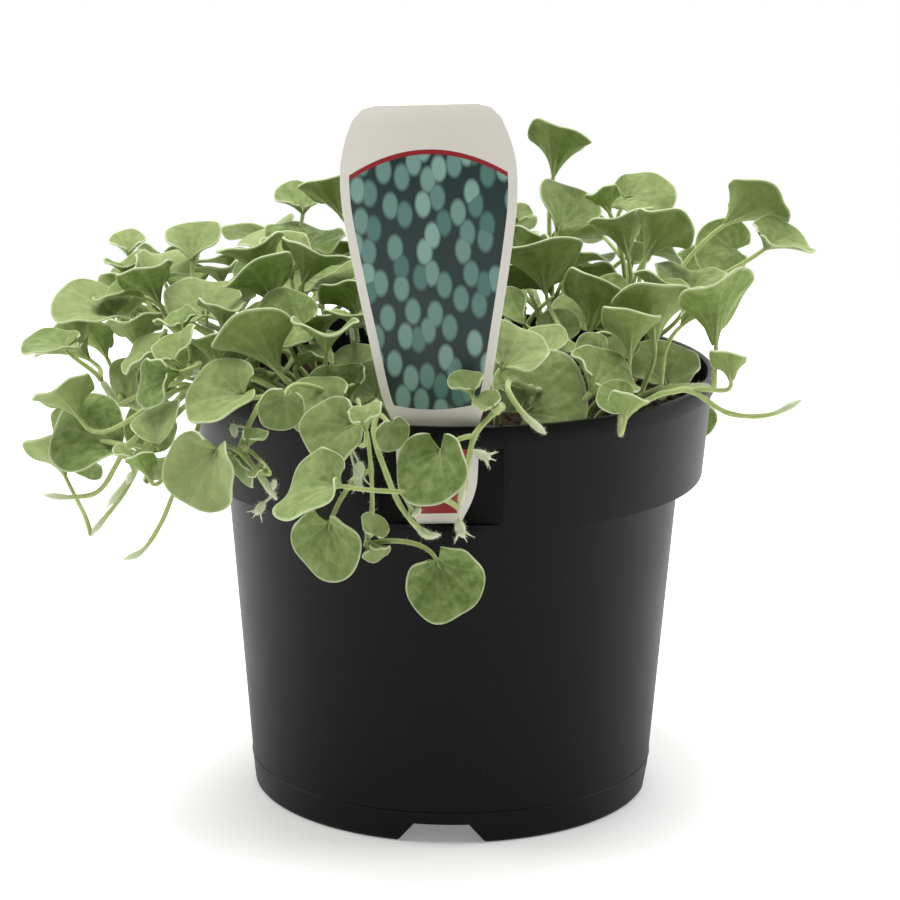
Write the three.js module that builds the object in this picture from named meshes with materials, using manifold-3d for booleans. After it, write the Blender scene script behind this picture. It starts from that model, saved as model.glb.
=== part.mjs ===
// Silver falls dichondra in a round nursery pot, with its plant label.
// Millimetres, +Z up. The origin is the middle of the pot's underside and the label faces -Y.
import * as THREE from 'three';
import { mergeVertices } from 'three/addons/utils/BufferGeometryUtils.js';
import Module from 'manifold-3d';

const wasm = await Module();
wasm.setup();

// Driving sizes of the pot
const POT_HEIGHT = 116.2;
const RIM_RADIUS = 70;
const COLLAR_RADIUS = 67.3;
const COLLAR_BOTTOM = 88.2;
const BODY_TOP_RADIUS = 61.05;
const BASE_RADIUS = 54;
const WALL = 1.3;
const LIP = 1.9;
const LIP_HEIGHT = 4.6;
const FLOOR_UNDERSIDE = 6;
const FOOT_WIDTH = 2.4;
const BOSS_RADIUS = 13;
const POT_SIDES = 32;
const NOTCH = { count: 4, bottom: 25, top: 14.5, height: 5.4 };
const DRAIN = { count: 6, radius: 4, circle: 38 };

// The recess in the collar that the label's tongue sits in, and the strap of rim that crosses it
const RECESS_WIDTH = 31;
const RECESS_FACE = 65.85;
const RECESS_FOOT = 90.2;
const RECESS_TOP = 114.6;
const STRAP_INNER = 68.3;
const STRAP_BOTTOM = 110.6;

// Soil
const SOIL_TOP = 106;
const SOIL_HUMP = 1.1;
const HOLE_DEPTH = 14;
const GAP = 0.3;

// Label
const LABEL_PLANE = -66.5;
const LABEL_THICK = 0.7;
const LABEL_LEAN = 2.1;
const LABEL_MIDDLE = -1.4;

// Plant
const BLADE_THICK = 0.62;
const STALK_RADIUS = 0.65;
const RIM_STEPS_FROM = [10, 15.5, 21];
const SEED = 11;

// The viewpoint the plant is described from: a picture place and a depth towards it give a point.
// Turn and tilt are in degrees, the rest in mm and picture units.
const VIEW = { turn: 2.5, tilt: 14.404, roll: 0.423, distance: 874.5, focal: 3231.3, aimX: -0.83, aimZ: 92.5 };
const PICTURE_MIDDLE = 450;

const v3 = (x, y, z) => new THREE.Vector3(x, y, z);
const rad = THREE.MathUtils.degToRad;
const mix = (...pairs) => {
  const sum = v3(0, 0, 0);
  for (const [vector, amount] of pairs) sum.addScaledVector(vector, amount);
  return sum;
};

const turn = rad(VIEW.turn);
const tilt = rad(VIEW.tilt);
const roll = rad(VIEW.roll);
const NEAR = v3(Math.sin(turn), -Math.cos(turn), 0);
const RIGHT = v3(Math.cos(turn), Math.sin(turn), 0);
const BACK = mix([NEAR, Math.cos(tilt)], [v3(0, 0, 1), Math.sin(tilt)]);
const UP = mix([NEAR, -Math.sin(tilt)], [v3(0, 0, 1), Math.cos(tilt)]);
const EYE = mix([RIGHT, VIEW.aimX], [v3(0, 0, 1), VIEW.aimZ], [BACK, VIEW.distance]);

// The point seen at picture place px, py on the upright plane that lies depth mm before the pot's axis
function seen(px, py, depth) {
  const across = px - PICTURE_MIDDLE;
  const above = PICTURE_MIDDLE - py;
  const x = Math.cos(roll) * across - Math.sin(roll) * above;
  const y = Math.sin(roll) * across + Math.cos(roll) * above;
  const ray = mix([RIGHT, x], [UP, y], [BACK, -VIEW.focal]);
  const far = (depth - EYE.dot(NEAR)) / ray.dot(NEAR);
  return mix([EYE, 1], [ray, far]);
}

// Seeded draws from 0 to 1
function draws(seed) {
  let state = seed;
  return () => {
    state = (state + 0x6d2b79f5) | 0;
    let t = Math.imul(state ^ (state >>> 15), 1 | state);
    t = (t + Math.imul(t ^ (t >>> 7), 61 | t)) ^ t;
    return ((t ^ (t >>> 14)) >>> 0) / 4294967296;
  };
}

// Solids

// Closed geometry from points and triangles
function geometryOf(points, faces) {
  const geometry = new THREE.BufferGeometry();
  geometry.setAttribute('position', new THREE.Float32BufferAttribute(points.flatMap((p) => [p.x, p.y, p.z]), 3));
  geometry.setIndex(faces.flat());
  return geometry;
}

// A solid that can be joined and cut
function solidOf(geometry) {
  const bare = geometry.clone();
  bare.deleteAttribute('normal');
  bare.deleteAttribute('uv');
  const merged = mergeVertices(bare, 1e-5);
  return new wasm.Manifold(new wasm.Mesh({
    numProp: 3,
    vertProperties: new Float32Array(merged.attributes.position.array),
    triVerts: new Uint32Array(merged.index.array),
  }));
}

function geometryFrom(solid) {
  const mesh = solid.getMesh();
  const geometry = new THREE.BufferGeometry();
  geometry.setAttribute('position', new THREE.BufferAttribute(mesh.vertProperties, 3));
  geometry.setIndex(new THREE.BufferAttribute(mesh.triVerts, 1));
  return geometry;
}

// A box between two corners
function block([x0, y0, z0], [x1, y1, z1]) {
  const box = new THREE.BoxGeometry(x1 - x0, y1 - y0, z1 - z0);
  return solidOf(box.translate((x0 + x1) / 2, (y0 + y1) / 2, (z0 + z1) / 2));
}

// A body turned round +Z from [radius, height] pairs
function turned(profile, sides = POT_SIDES) {
  const lathe = new THREE.LatheGeometry(profile.map(([r, z]) => new THREE.Vector2(r, z)), sides);
  return solidOf(lathe.rotateX(Math.PI / 2));
}

// A round rod through points, its radius given by a function of the share of its length
function rod(points, radiusAt, sides) {
  const rings = [];
  const faces = [];
  let side = v3(0, 0, 1);
  points.forEach((point, i) => {
    const along = points[Math.min(i + 1, points.length - 1)].clone().sub(points[Math.max(i - 1, 0)]).normalize();
    if (Math.abs(side.dot(along)) > 0.97) side = Math.abs(along.x) < 0.8 ? v3(1, 0, 0) : v3(0, 1, 0);
    side = mix([side, 1], [along, -side.dot(along)]).normalize();
    const other = along.clone().cross(side);
    const radius = radiusAt(i / (points.length - 1));
    for (let k = 0; k < sides; k++) {
      const angle = (2 * Math.PI * k) / sides;
      rings.push(mix([point, 1], [side, radius * Math.cos(angle)], [other, radius * Math.sin(angle)]));
    }
  });
  const last = (points.length - 1) * sides;
  for (let k = 0; k < sides; k++) {
    const next = (k + 1) % sides;
    for (let start = 0; start < last; start += sides) {
      faces.push([start + k, start + next, start + sides + next], [start + k, start + sides + next, start + sides + k]);
    }
    if (k > 0 && next > 0) faces.push([0, next, k], [last, last + k, last + next]);
  }
  return solidOf(geometryOf(rings, faces));
}

// Leaves. A blade's own axes are its midrib m, its left side l and the normal n of its upper face.

const KIDNEY_SPREAD = 138;
const FAN_SPREAD = 110;
const CONE_REACH = 168;
const FOLD_FLAT = 20;
const FOLD_RANGE = 24;
const RIGHTING = 0.85;
const FLARE = 0.75;
const FLARE_LEAST = 6;
const BLADE_LENGTH = 0.8;

// Rim radius at an angle from the midrib, in shares of the width: a kidney with a deep notch at the stalk,
// or a fan on a wedge base
function rimRadius(leaf, theta) {
  const wedge = Math.min(1, Math.max(0, (KIDNEY_SPREAD - leaf.spread) / (KIDNEY_SPREAD - FAN_SPREAD)));
  const offset = 0.2 + 0.2 * wedge;
  const circle = offset * Math.cos(theta) + Math.sqrt(0.25 - (offset * Math.sin(theta)) ** 2);
  const lobe = 1 - (0.2 + 0.8 * wedge) * (Math.abs(theta) / rad(leaf.spread)) ** (9 - 5 * wedge);
  const flatTip = 1 - (0.03 + 0.1 * wedge) * Math.exp(-((theta / (0.25 + 0.35 * wedge)) ** 2));
  const uneven = 1 + 0.045 * Math.sin(2 * theta + leaf.phase) + 0.02 * Math.sin(5 * theta + 1.7 * leaf.phase);
  return circle * lobe * flatTip * uneven;
}

// A blade's own axes. A flat blade's midrib runs along its way and its upper face looks along its look; a
// folded blade is turned up so that the axis of its cone comes near its way.
function bladeAxes(way, look, fold) {
  const face = mix([look, 1], [way, -look.dot(way)]).normalize();
  const upright = Math.min(1, Math.max(0, (fold - FOLD_FLAT) / FOLD_RANGE));
  const turn = RIGHTING * upright * rad(90 - fold);
  const m = mix([way, Math.cos(turn)], [face, -Math.sin(turn)]);
  const n = mix([face, Math.cos(turn)], [way, Math.sin(turn)]);
  return { m, n, l: n.clone().cross(m) };
}

// The axis of the cone that a folded blade bends round, and the way from the axis to the midrib
function coneOf(leaf) {
  const open = rad(90 - leaf.fold);
  const axis = mix([leaf.m, Math.cos(open)], [leaf.n, Math.sin(open)]);
  const front = mix([leaf.m, Math.sin(open)], [leaf.n, -Math.cos(open)]);
  return { open, axis, front };
}

// A point of the blade at an angle from the midrib and a share of the way from its base to its rim.
// The blade is a cone round its axis, nearly flat or a steep funnel, that flares towards a wavy rim.
function bladePoint(leaf, theta, share) {
  const { open, axis, front } = coneOf(leaf);
  const radius = leaf.width * rimRadius(leaf, theta);
  const round = theta * Math.min(1 / Math.sin(open), CONE_REACH / leaf.spread);
  const bend = rad(FLARE * leaf.fold + FLARE_LEAST - leaf.arch * Math.max(0, Math.cos(theta)));
  const start = open - bend / 2;
  const slope = start + bend * share;
  let lift = leaf.wave * leaf.width * share ** 3 * Math.sin(3.2 * theta + leaf.phase);
  lift += 0.6 * leaf.wave * leaf.width * share ** 4 * Math.sin(7 * theta + 2.3 * leaf.phase);
  const out = (radius * (Math.cos(start) - Math.cos(slope))) / bend - lift * Math.cos(slope);
  const up = (radius * (Math.sin(slope) - Math.sin(start))) / bend + lift * Math.sin(slope);
  return mix([leaf.base, 1], [axis, up], [front, out * Math.cos(round)], [leaf.l, out * Math.sin(round)]);
}

// A leaf as one closed solid: a square-cut stalk that runs into a thin blade. The blade has the same
// triangles on both faces, from its base out to the rim points.
function leafSolid(leaf, stalk, stalkRadius) {
  const last = stalk.length - 1;
  const rings = [];
  let side = leaf.n;
  for (let i = last; i >= 0; i--) {
    const along = i === last ? leaf.m : stalk[i + 1].clone().sub(stalk[Math.max(0, i - 1)]).normalize();
    side = mix([side, 1], [along, -side.dot(along)]).normalize();
    const other = along.clone().cross(side);
    const high = i === last ? BLADE_THICK / 2 : stalkRadius;
    rings.unshift([1, 0, -1, 0].map((c, k) => mix([stalk[i], 1], [side, c * high],
      [other, [0, 1, 0, -1][k] * stalkRadius])));
  }
  const points = rings.flat();
  const faces = [[0, 2, 1], [0, 3, 2]];
  for (let start = 0; start < 4 * last; start += 4) {
    for (let k = 0; k < 4; k++) {
      const next = (k + 1) % 4;
      faces.push([start + k, start + next, start + 4 + next], [start + k, start + 4 + next, start + 4 + k]);
    }
  }
  const steps = 4 + RIM_STEPS_FROM.filter((width) => leaf.width > width).length;
  const rim = [];
  for (let i = 0; i <= steps; i++) rim.push(bladePoint(leaf, rad(leaf.spread) * ((2 * i) / steps - 1), 1));
  const normals = rim.map(() => v3(0, 0, 0));
  for (let i = 0; i < steps; i++) {
    const across = rim[i].clone().sub(leaf.base).cross(rim[i + 1].clone().sub(leaf.base)).normalize();
    for (const k of [i, i + 1]) normals[k].add(across);
  }
  const [top, right, bottom, left] = [0, 1, 2, 3].map((k) => 4 * last + k);
  const upper = points.length;
  const lower = upper + rim.length;
  for (const half of [BLADE_THICK / 2, -BLADE_THICK / 2]) {
    rim.forEach((p, k) => points.push(mix([p, 1], [normals[k].clone().normalize(), half])));
  }
  for (let i = 0; i < steps; i++) {
    faces.push([top, upper + i, upper + i + 1], [bottom, lower + i + 1, lower + i]);
    faces.push([upper + i + 1, upper + i, lower + i], [upper + i + 1, lower + i, lower + i + 1]);
  }
  const [upperEnd, lowerEnd] = [upper + steps, lower + steps];
  faces.push([upper, top, right], [upper, right, lower], [lower, right, bottom]);
  faces.push([top, upperEnd, left], [left, upperEnd, lowerEnd], [left, lowerEnd, bottom]);
  return solidOf(geometryOf(points, faces));
}

// Stems. Each row: name, radius, root in the soil, places along the stem, then its leaves.
// A leaf: share along the stem, picture place and depth of the blade's base, width, direction of the
// midrib in the picture, its lean towards the viewer, the way the upper face looks (right, up, near),
// fold along the midrib, arch from base to tip, and how far the blade spreads round its base.
const STEMS = [
  ['far_left_upper', 1.1, [-44, 2],
    [[262, 372, -6], [225, 352, -4], [180, 338, 0], [140, 334, 3], [116, 330, 6]], [
     [1.0, 112, 317, 6, 25, 168, 0, [0, 0.86, 0.5], 20, -14, 150],
     [0.86, 120, 328, -1, 22.5, 84, -8, [0, 0.35, -0.95], 53, 10, 130],
     [0.72, 134, 324, -10, 14.5, 78, -10, [0, 0.2, 1], 46, 0, 150],
     [0.66, 144, 297, 2, 19, 152, 10, [0, 0.9, 0.35], 50, 0, 150],
     [0.6, 160, 304, 3, 23, 112, 15, [-0.2, 0.5, -0.85], 49, 10, 150],
     [0.55, 150, 296, -6, 26, 72, 0, [-0.3, 0.35, 0.9], 50, -10, 150],
     [0.5, 142, 286, -14, 17, 128, -15, [0, 0.4, 0.9], 31, 0, 150],
     [0.62, 126, 275, -8, 21, 94, 38, [0, 0.62, -0.78], 43, 8, 130],
     [0.45, 129, 256, -20, 13, 94, 0, [0, 0.15, 1], 41, 0, 150],
     [0.4, 163, 266, -22, 20, 84, -55, [0, 0.8, 0.6], 33, 0, 150]]],
  ['far_left_lower', 1.1, [-42, -20],
    [[262, 376, 22], [222, 367, 20], [190, 372, 20], [160, 396, 22], [122, 404, 24], [101, 380, 26]], [
     [1.0, 66, 350, 26, 18, 176, 0, [0, 0.92, 0.38], 20, -12, 150],
     [0.98, 90, 360, 22, 24.5, 138, 5, [-0.1, 0.75, 0.65], 48, 5, 150],
     [0.8, 107, 358, 14, 22, 112, 5, [0.1, 0.4, -0.9], 51, 8, 150],
     [0.72, 139, 350, 7, 20.5, 98, 12, [0, 0.4, -0.9], 44, 10, 150],
     [0.66, 166, 362, 20, 23, 148, -12, [-0.1, 0.6, 0.8], 39, -8, 150],
     [0.7, 141, 359, 27, 18, 232, 0, [-0.35, 0.35, 0.85], 40, 0, 108],
     [0.55, 166, 379, 25, 19, 194, 0, [0, 0.15, 1], 14, -8, 150]]],
  ['hanging_left_a', 1.0, [-38, -32],
    [[262, 384, 34], [224, 379, 44], [196, 387, 47], [165, 412, 48], [128, 446, 50], [101, 489, 50],
     [74, 497, 50], [43, 495, 50]], [
     [0.42, 121, 450, 47, 25.5, 152, 0, [-0.15, 0.4, 0.9], 32, -8, 112],
     [0.38, 80, 419, 38, 22.5, 118, 10, [0, 0.5, -0.85], 46, 0, 150],
     [0.36, 77, 421, 30, 12, 200, 0, [0, 0.4, 0.9], 35, 0, 150],
     [0.62, 91, 458, 42, 9.5, 252, 0, [0.1, 0, 1], 35, 0, 150],
     [0.62, 150, 457, 46, 11.5, -62, 0, [0.3, 0.3, 0.9], 40, 0, 150]]],
  ['hanging_left_b', 1.0, [-45, -11],
    [[250, 366, 8], [216, 356, 7], [186, 359, 8], [167, 384, 13], [152, 428, 26], [128, 486, 38],
     [91, 535, 38]], [
     [1.0, 66, 478, 36, 19.5, 112, 6, [0.1, 0.4, -0.9], 54, 0, 118],
     [0.7, 163, 420, 24, 15.5, 200, 0, [0, 0.05, 1], 10, 0, 150]]],
  ['hanging_left_c', 1.0, [-33, -44],
    [[266, 384, 48], [232, 380, 58], [190, 402, 60], [162, 432, 60], [147, 455, 61], [107, 507, 61]], [
     [0.6, 158, 447, 58, 17, 104, 0, [-0.35, 0.25, 0.9], 42, 0, 108],
     [0.8, 133, 469, 62, 11, 112, 0, [0.75, 0.2, 0.6], 60, 0, 150]]],
  ['hanging_left_d', 0.9, [-40, -38],
    [[246, 384, 35], [212, 390, 49], [194, 440, 62], [172, 497, 64], [160, 525, 64], [143, 550, 64],
     [123, 560, 64]], [
     [0.5, 150, 480, 62, 13, 112, 0, [0.2, 0.4, -0.8], 54, 0, 150]]],
  ['front_left', 1.0, [-31, -37],
    [[290, 402, 56], [268, 398, 65], [256, 411, 70], [243, 447, 73], [262, 478, 77], [277, 500, 79]], [
     [0.3, 244, 397, 66, 23.5, 184, 0, [0.1, 0.74, 0.66], 24, -16, 138],
     [0.8, 218, 450, 74, 23.5, 240, 0, [-0.45, 0.05, 0.9], 26, -8, 136],
     [0.6, 244, 448, 76, 15, 248, 0, [-0.6, 0, 0.8], 48, 0, 150],
     [0.6, 247, 447, 75, 9.5, 66, 0, [-0.3, 0.3, 0.85], 50, 0, 150],
     [0.75, 266, 474, 80, 7, 150, 0, [0.2, 0.5, 0.8], 45, 0, 150]]],
  ['front_middle', 1.1, [-25, -35],
    [[338, 398, 60], [344, 416, 70], [347, 440, 73]], [
     [0.7, 338, 410, 69, 19, 172, 0, [-0.1, 0.62, 0.76], 24, -12, 138],
     [0.35, 285, 396, 71, 12.5, -108, 0, [0.3, 0.15, 0.95], 22, -8, 138],
     [0.75, 352, 426, 70, 18, 200, 0, [0.1, 0.4, 0.9], 22, -10, 138],
     [0.6, 352, 394, 62, 17.5, 128, -5, [0, 0.8, 0.6], 35, 0, 150],
     [1.0, 366, 432, 74, 13, 96, 0, [-0.3, 0.3, 0.85], 50, 0, 150]]],
  ['front_thin', 0.8, [-20, -41],
    [[358, 400, 60], [363, 418, 70], [368, 440, 74], [371, 470, 76], [372, 510, 77], [366, 545, 77]], [
     [0.72, 330, 523, 78, 20.5, -96, 4, [-0.4, 0.1, 0.92], 26, -8, 138],
     [1.0, 437, 561, 80, 21.5, -66, 4, [-0.15, 0.28, 0.95], 25, -14, 137],
     [0.9, 372, 534, 79, 8.5, 78, 0, [0.5, 0.1, 0.85], 30, 0, 138],
     [1.0, 369, 541, 79, 9.5, -62, 0, [-0.5, 0.2, 0.8], 44, 0, 138]]],
  ['front_bright', 1.0, [-15, -38],
    [[377, 402, 60], [376, 416, 71], [374, 434, 76], [382, 462, 80], [400, 505, 82], [424, 533, 83],
     [441, 535, 83]], [
     [0.3, 389, 425, 72, 10, -76, 0, [0.4, 0, 0.9], 25, 0, 150],
     [0.85, 410, 514, 84, 6.5, 68, 0, [0.4, 0, 0.9], 50, 0, 150]]],
  ['front_label', 1.0, [13, -51],
    [[499, 408, 60], [501, 407, 69], [489, 418, 76], [474, 437, 80], [466, 475, 83], [459, 508, 84]], [
     [0.98, 341, 486, 84, 23.5, 178, 0, [0.12, 0.72, 0.68], 32, -8, 132],
     [0.66, 441, 451, 84, 21, -112, 30, [-0.3, 0.62, 0.7], 26, -10, 138],
     [0.3, 472, 395, 74, 11.5, 110, 0, [0, 0.6, 0.8], 40, 0, 150],
     [0.36, 492, 409, 76, 8.5, 125, 0, [0, 0.5, 0.85], 35, 0, 150]]],
  ['upper_left', 1.0, [-40, -4],
    [[272, 362, 2], [250, 340, 6], [222, 330, 10], [200, 322, 14]], [
     [0.9, 192, 262, 0, 18.5, 92, 6, [0, 0.3, 0.95], 42, 6, 130],
     [0.7, 222, 284, -8, 17, 104, 30, [0, 0.7, -0.7], 42, 0, 150],
     [1.0, 206, 316, 16, 20.5, 101, -38, [0, 0.55, 0.85], 16, -12, 150],
     [0.6, 239, 304, 6, 11.5, 96, 0, [0.35, 0.2, 0.9], 35, 0, 150],
     [0.55, 223, 330, 18, 20.5, 88, 36, [0, 0.62, -0.78], 54, 8, 150],
     [0.8, 190, 292, -14, 14.5, 100, -20, [0, 0.4, 0.9], 31, 0, 108]]],
  ['left_middle', 1.0, [-37, -26],
    [[268, 380, 30], [240, 376, 32], [212, 374, 34], [190, 374, 34]], [
     [0.95, 185, 338, 26, 27, 118, -12, [-0.1, 0.85, 0.5], 50, 0, 150],
     [1.0, 184, 370, 38, 19.5, 112, 0, [-0.5, 0.35, 0.8], 50, 0, 150],
     [0.8, 200, 370, 38, 12.5, 118, -5, [0, 0.5, 0.85], 30, 0, 150],
     [0.6, 216, 367, 40, 26, 95, 16, [0, 0.42, -0.9], 47, 6, 150],
     [0.3, 243, 374, 34, 16.5, 114, 10, [0, 0.75, 0.5], 58, 0, 150],
     [0.3, 246, 346, 30, 13.5, 102, -10, [0, 0.5, 0.85], 31, 0, 150],
     [0.9, 181, 372, 44, 19.5, 196, 10, [0, 0.35, 0.9], 50, 0, 150]]],
  ['inner_left_a', 1.0, [-36, -9],
    [[292, 358, 6], [280, 335, 6], [272, 312, 6]], [
     [1.0, 269, 278, 4, 24.5, 114, 22, [-0.05, 0.65, -0.75], 48, 6, 124],
     [0.9, 262, 279, -6, 12.5, 150, 0, [0, 0.5, 0.85], 20, 0, 150],
     [0.8, 292, 281, -4, 23, 100, 10, [0.1, 0.7, 0.6], 55, 0, 150],
     [0.7, 276, 305, 14, 24, 116, 20, [-0.1, 0.5, -0.85], 47, 6, 115],
     [0.4, 263, 335, 20, 17, 122, -10, [0, 0.4, 0.9], 31, 0, 150],
     [0.2, 258, 370, 30, 22, 104, 0, [-0.35, 0.6, 0.65], 52, 0, 150]]],
  ['inner_left_b', 1.0, [-31, -15],
    [[312, 362, 14], [312, 338, 12], [308, 312, 8]], [
     [1.0, 303, 284, 0, 26, 70, 20, [0, 0.65, -0.75], 46, 6, 150],
     [0.9, 311, 305, 10, 19, 162, 0, [0, 0.85, 0.5], 44, 0, 150],
     [0.85, 300, 300, -8, 17, 92, -10, [0, 0.5, 0.85], 36, 0, 150],
     [0.5, 318, 345, 24, 23, 95, 22, [0, 0.6, -0.8], 46, 6, 150],
     [0.6, 301, 326, 22, 18.5, 166, -8, [0, 0.5, 0.87], 14, -8, 150],
     [0.4, 290, 346, 28, 22, 106, -15, [0, 0.7, 0.7], 45, 0, 150]]],
  ['inner_left_c', 1.1, [-28, -30],
    [[318, 384, 36], [304, 386, 40], [290, 384, 42]], [
     [1.0, 281, 375, 50, 30.5, 122, 8, [0.1, 0.6, -0.78], 52, 6, 130],
     [0.7, 297, 366, 34, 24, 44, 0, [-0.2, 0.85, 0.45], 50, 0, 150],
     [0.3, 326, 353, 34, 22.5, 90, 32, [0, 0.8, -0.55], 46, 0, 130]]],
  ['back_left', 1.0, [-30, 14],
    [[330, 352, -20], [325, 320, -30], [318, 285, -36]], [
     [0.9, 306, 250, -30, 23, 92, -58, [0, 0.8, 0.6], 14, -12, 150],
     [1.0, 303, 214, -42, 18, 93, -12, [0, 0.1, 1], 35, 8, 150],
     [0.95, 341, 216, -34, 21, 112, 5, [0.3, 0.3, -0.85], 49, 6, 130],
     [0.6, 350, 286, -22, 14.5, 112, -5, [0, 0.35, 0.9], 31, 0, 150]]],
  ['left_of_label', 1.0, [-22, -20],
    [[352, 368, 20], [354, 345, 18], [352, 322, 14]], [
     [1.0, 346, 292, 0, 19.5, 116, -12, [0, 0.6, 0.8], 41, 0, 150],
     [0.95, 353, 300, 8, 21, 122, -12, [0, 0.6, 0.8], 41, 0, 150],
     [0.9, 361, 321, 14, 22.5, 114, 15, [0, 0.45, -0.88], 53, 6, 150],
     [0.75, 356, 329, 22, 24, 96, 40, [0, 0.72, -0.7], 42, 0, 130],
     [0.3, 354, 376, 46, 19.5, 70, -5, [-0.1, 0.42, 0.9], 26, 0, 150],
     [0.2, 378, 398, 46, 16, 110, 0, [-0.5, 0.2, 0.85], 30, 0, 150]]],
  ['back_right', 1.0, [22, 12],
    [[545, 352, -14], [548, 325, -24], [552, 295, -32]], [
     [1.0, 553, 178, -38, 26, 80, 14, [0.12, 0.55, -0.82], 53, 8, 130],
     [0.95, 558, 231, -32, 22, 68, -5, [0.3, 0.15, 0.95], 34, 0, 108],
     [0.8, 566, 272, -22, 25.5, 68, -32, [0, 0.55, 0.85], 38, -10, 150],
     [0.6, 514, 262, -20, 17, 50, 0, [0, 0.4, -0.9], 42, 0, 118],
     [0.5, 517, 222, -34, 9, 70, 0, [0, 0.3, 0.95], 37, 0, 150]]],
  ['right_tall', 1.0, [40, 8],
    [[618, 362, -8], [628, 335, -14], [634, 308, -18]], [
     [0.9, 628, 200, -26, 18.5, 4, 0, [0, 0.62, 0.8], 14, -8, 150],
     [0.85, 641, 216, -36, 19.5, 112, -8, [0, 0.3, 0.95], 38, 0, 150],
     [0.8, 610, 214, -30, 14.5, 112, 8, [0.2, 0.4, -0.85], 51, 0, 150],
     [1.0, 628, 257, -14, 27, 102, 16, [0, 0.55, -0.8], 49, 8, 150],
     [1.0, 643, 262, -10, 27, 62, 8, [0.2, 0.5, -0.82], 53, 6, 150],
     [0.9, 633, 262, -24, 9, 62, 0, [0, 0.3, 0.9], 30, 0, 150]]],
  ['right_spreading', 1.0, [46, -4],
    [[640, 372, 2], [648, 350, -2], [652, 322, -6]], [
     [1.0, 723, 226, -12, 28.5, 40, 6, [-0.2, 0.5, -0.82], 51, 8, 150],
     [0.95, 735, 250, -22, 17, 171, 0, [0, 0.15, 1], 12, -8, 150],
     [0.9, 765, 249, -2, 21, 26, 0, [-0.2, 0.8, 0.55], 32, -8, 150],
     [0.8, 687, 298, 0, 22, 80, -22, [0, 0.6, 0.8], 33, -6, 150],
     [0.7, 651, 300, 8, 20.5, 68, 38, [0, 0.7, -0.7], 49, 0, 130]]],
  ['right_rim', 1.1, [46, -22],
    [[640, 398, 32], [660, 389, 40], [688, 386, 44], [714, 388, 46]], [
     [0.35, 655, 346, 34, 29.5, 95, 14, [0, 0.5, -0.87], 50, 8, 130],
     [0.55, 681, 326, 30, 29.5, 50, 0, [0, 0.9, 0.35], 50, -6, 130],
     [1.0, 716, 347, 44, 28.5, 95, 6, [-0.3, 0.3, -0.9], 54, 6, 118],
     [0.3, 666, 386, 14, 21, 90, -10, [0, 0.45, 0.9], 29, 0, 150]]],
  ['right_runner', 1.0, [42, -38],
    [[652, 398, 50], [672, 392, 54], [692, 391, 56], [728, 413, 58], [768, 415, 58], [802, 400, 58]], [
     [0.52, 731, 383, 58, 14, 94, 4, [0.2, 0.45, -0.85], 51, 0, 130]]],
  ['right_front', 1.1, [24, -34],
    [[552, 392, 38], [530, 390, 50], [513, 378, 60], [508, 390, 70], [522, 412, 74], [534, 424, 75],
     [546, 434, 76]], [
     [0.28, 525, 413, 56, 27, 40, -18, [0, 0.38, 0.93], 10, -16, 150],
     [0.3, 502, 370, 60, 22, 68, 0, [0, 0.2, 1], 35, 0, 150],
     [0.25, 505, 392, 56, 11, -40, 0, [0, 0.3, 0.95], 15, 0, 150]]],
  ['right_middle', 1.0, [31, -20],
    [[588, 372, 24], [575, 352, 22], [562, 335, 18]], [
     [1.0, 546, 292, 4, 25.5, 96, 8, [0.1, 0.4, -0.92], 42, 8, 118],
     [0.95, 525, 325, 14, 23.5, 130, 0, [0, 0.85, 0.45], 42, 0, 108],
     [0.8, 586, 327, 0, 18, 114, -14, [0, 0.45, 0.9], 28, -8, 150],
     [0.6, 545, 356, 34, 14, 94, -8, [0, 0.45, 0.9], 32, 0, 150],
     [0.5, 561, 359, 40, 16, 58, -20, [0, 0.6, 0.8], 36, 0, 150],
     [0.9, 550, 336, 16, 13, 40, -10, [0, 0.7, 0.65], 22, 0, 150]]],
  ['right_inner', 1.0, [36, -27],
    [[610, 388, 36], [602, 372, 32], [594, 352, 28]], [
     [1.0, 589, 334, 14, 29, 74, 14, [0.1, 0.58, -0.8], 50, 10, 130],
     [0.9, 612, 300, -4, 10.5, 92, 0, [0, 0.1, 1], 30, 0, 150],
     [0.4, 590, 392, 52, 23, 50, -14, [0, 0.42, 0.9], 36, -10, 150],
     [0.7, 600, 353, 38, 9.5, 150, 0, [0, 0.35, 0.95], 25, 0, 150],
     [0.7, 612, 357, 35, 10.5, 58, 0, [0, 0.35, 0.95], 30, 0, 108],
     [0.8, 601, 350, 26, 14.5, 92, 10, [0, 0.5, -0.85], 46, 0, 150],
     [0.8, 605, 335, 8, 14.5, 92, 0, [0, 0.2, 1], 35, 0, 150]]],
  ['right_low', 1.0, [38, -33],
    [[622, 398, 44], [628, 392, 46], [629, 380, 44]], [
     [1.0, 630, 357, 38, 23, 88, 12, [0, 0.58, -0.8], 52, 8, 130],
     [0.2, 623, 399, 50, 10, 168, 0, [0, 0.5, 0.87], 12, 0, 150],
     [0.3, 625, 421, 66, 14, 80, 8, [0, 0.6, -0.75], 46, 0, 150]]],
];

// Stems that nobody sees from the front, each with its bearing in degrees from the pot's back. The back
// ones lean out over the rim and droop, the crown ones stay over the soil.
const BACK_PATH = [[36, 107], [44, 116], [58, 123.5], [71, 122], [78.5, 113], [80.5, 99], [80, 84]];
const CROWN_PATH = [[15, 109], [22, 114], [31, 117], [39, 118]];
const ROOT_INWARD = 6;
const RULE_STEMS = [
  ['back_far_left', -59, BACK_PATH, 6],
  ['back_mid_left', -34, BACK_PATH, 6],
  ['back_middle', -2, BACK_PATH, 6],
  ['back_mid_right', 17, BACK_PATH, 6],
  ['back_far_right', 37, BACK_PATH, 6],
  ['crown_left', -29, CROWN_PATH, 4],
  ['crown_middle', 7, CROWN_PATH, 4],
  ['crown_right', 42, CROWN_PATH, 4],
];

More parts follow.
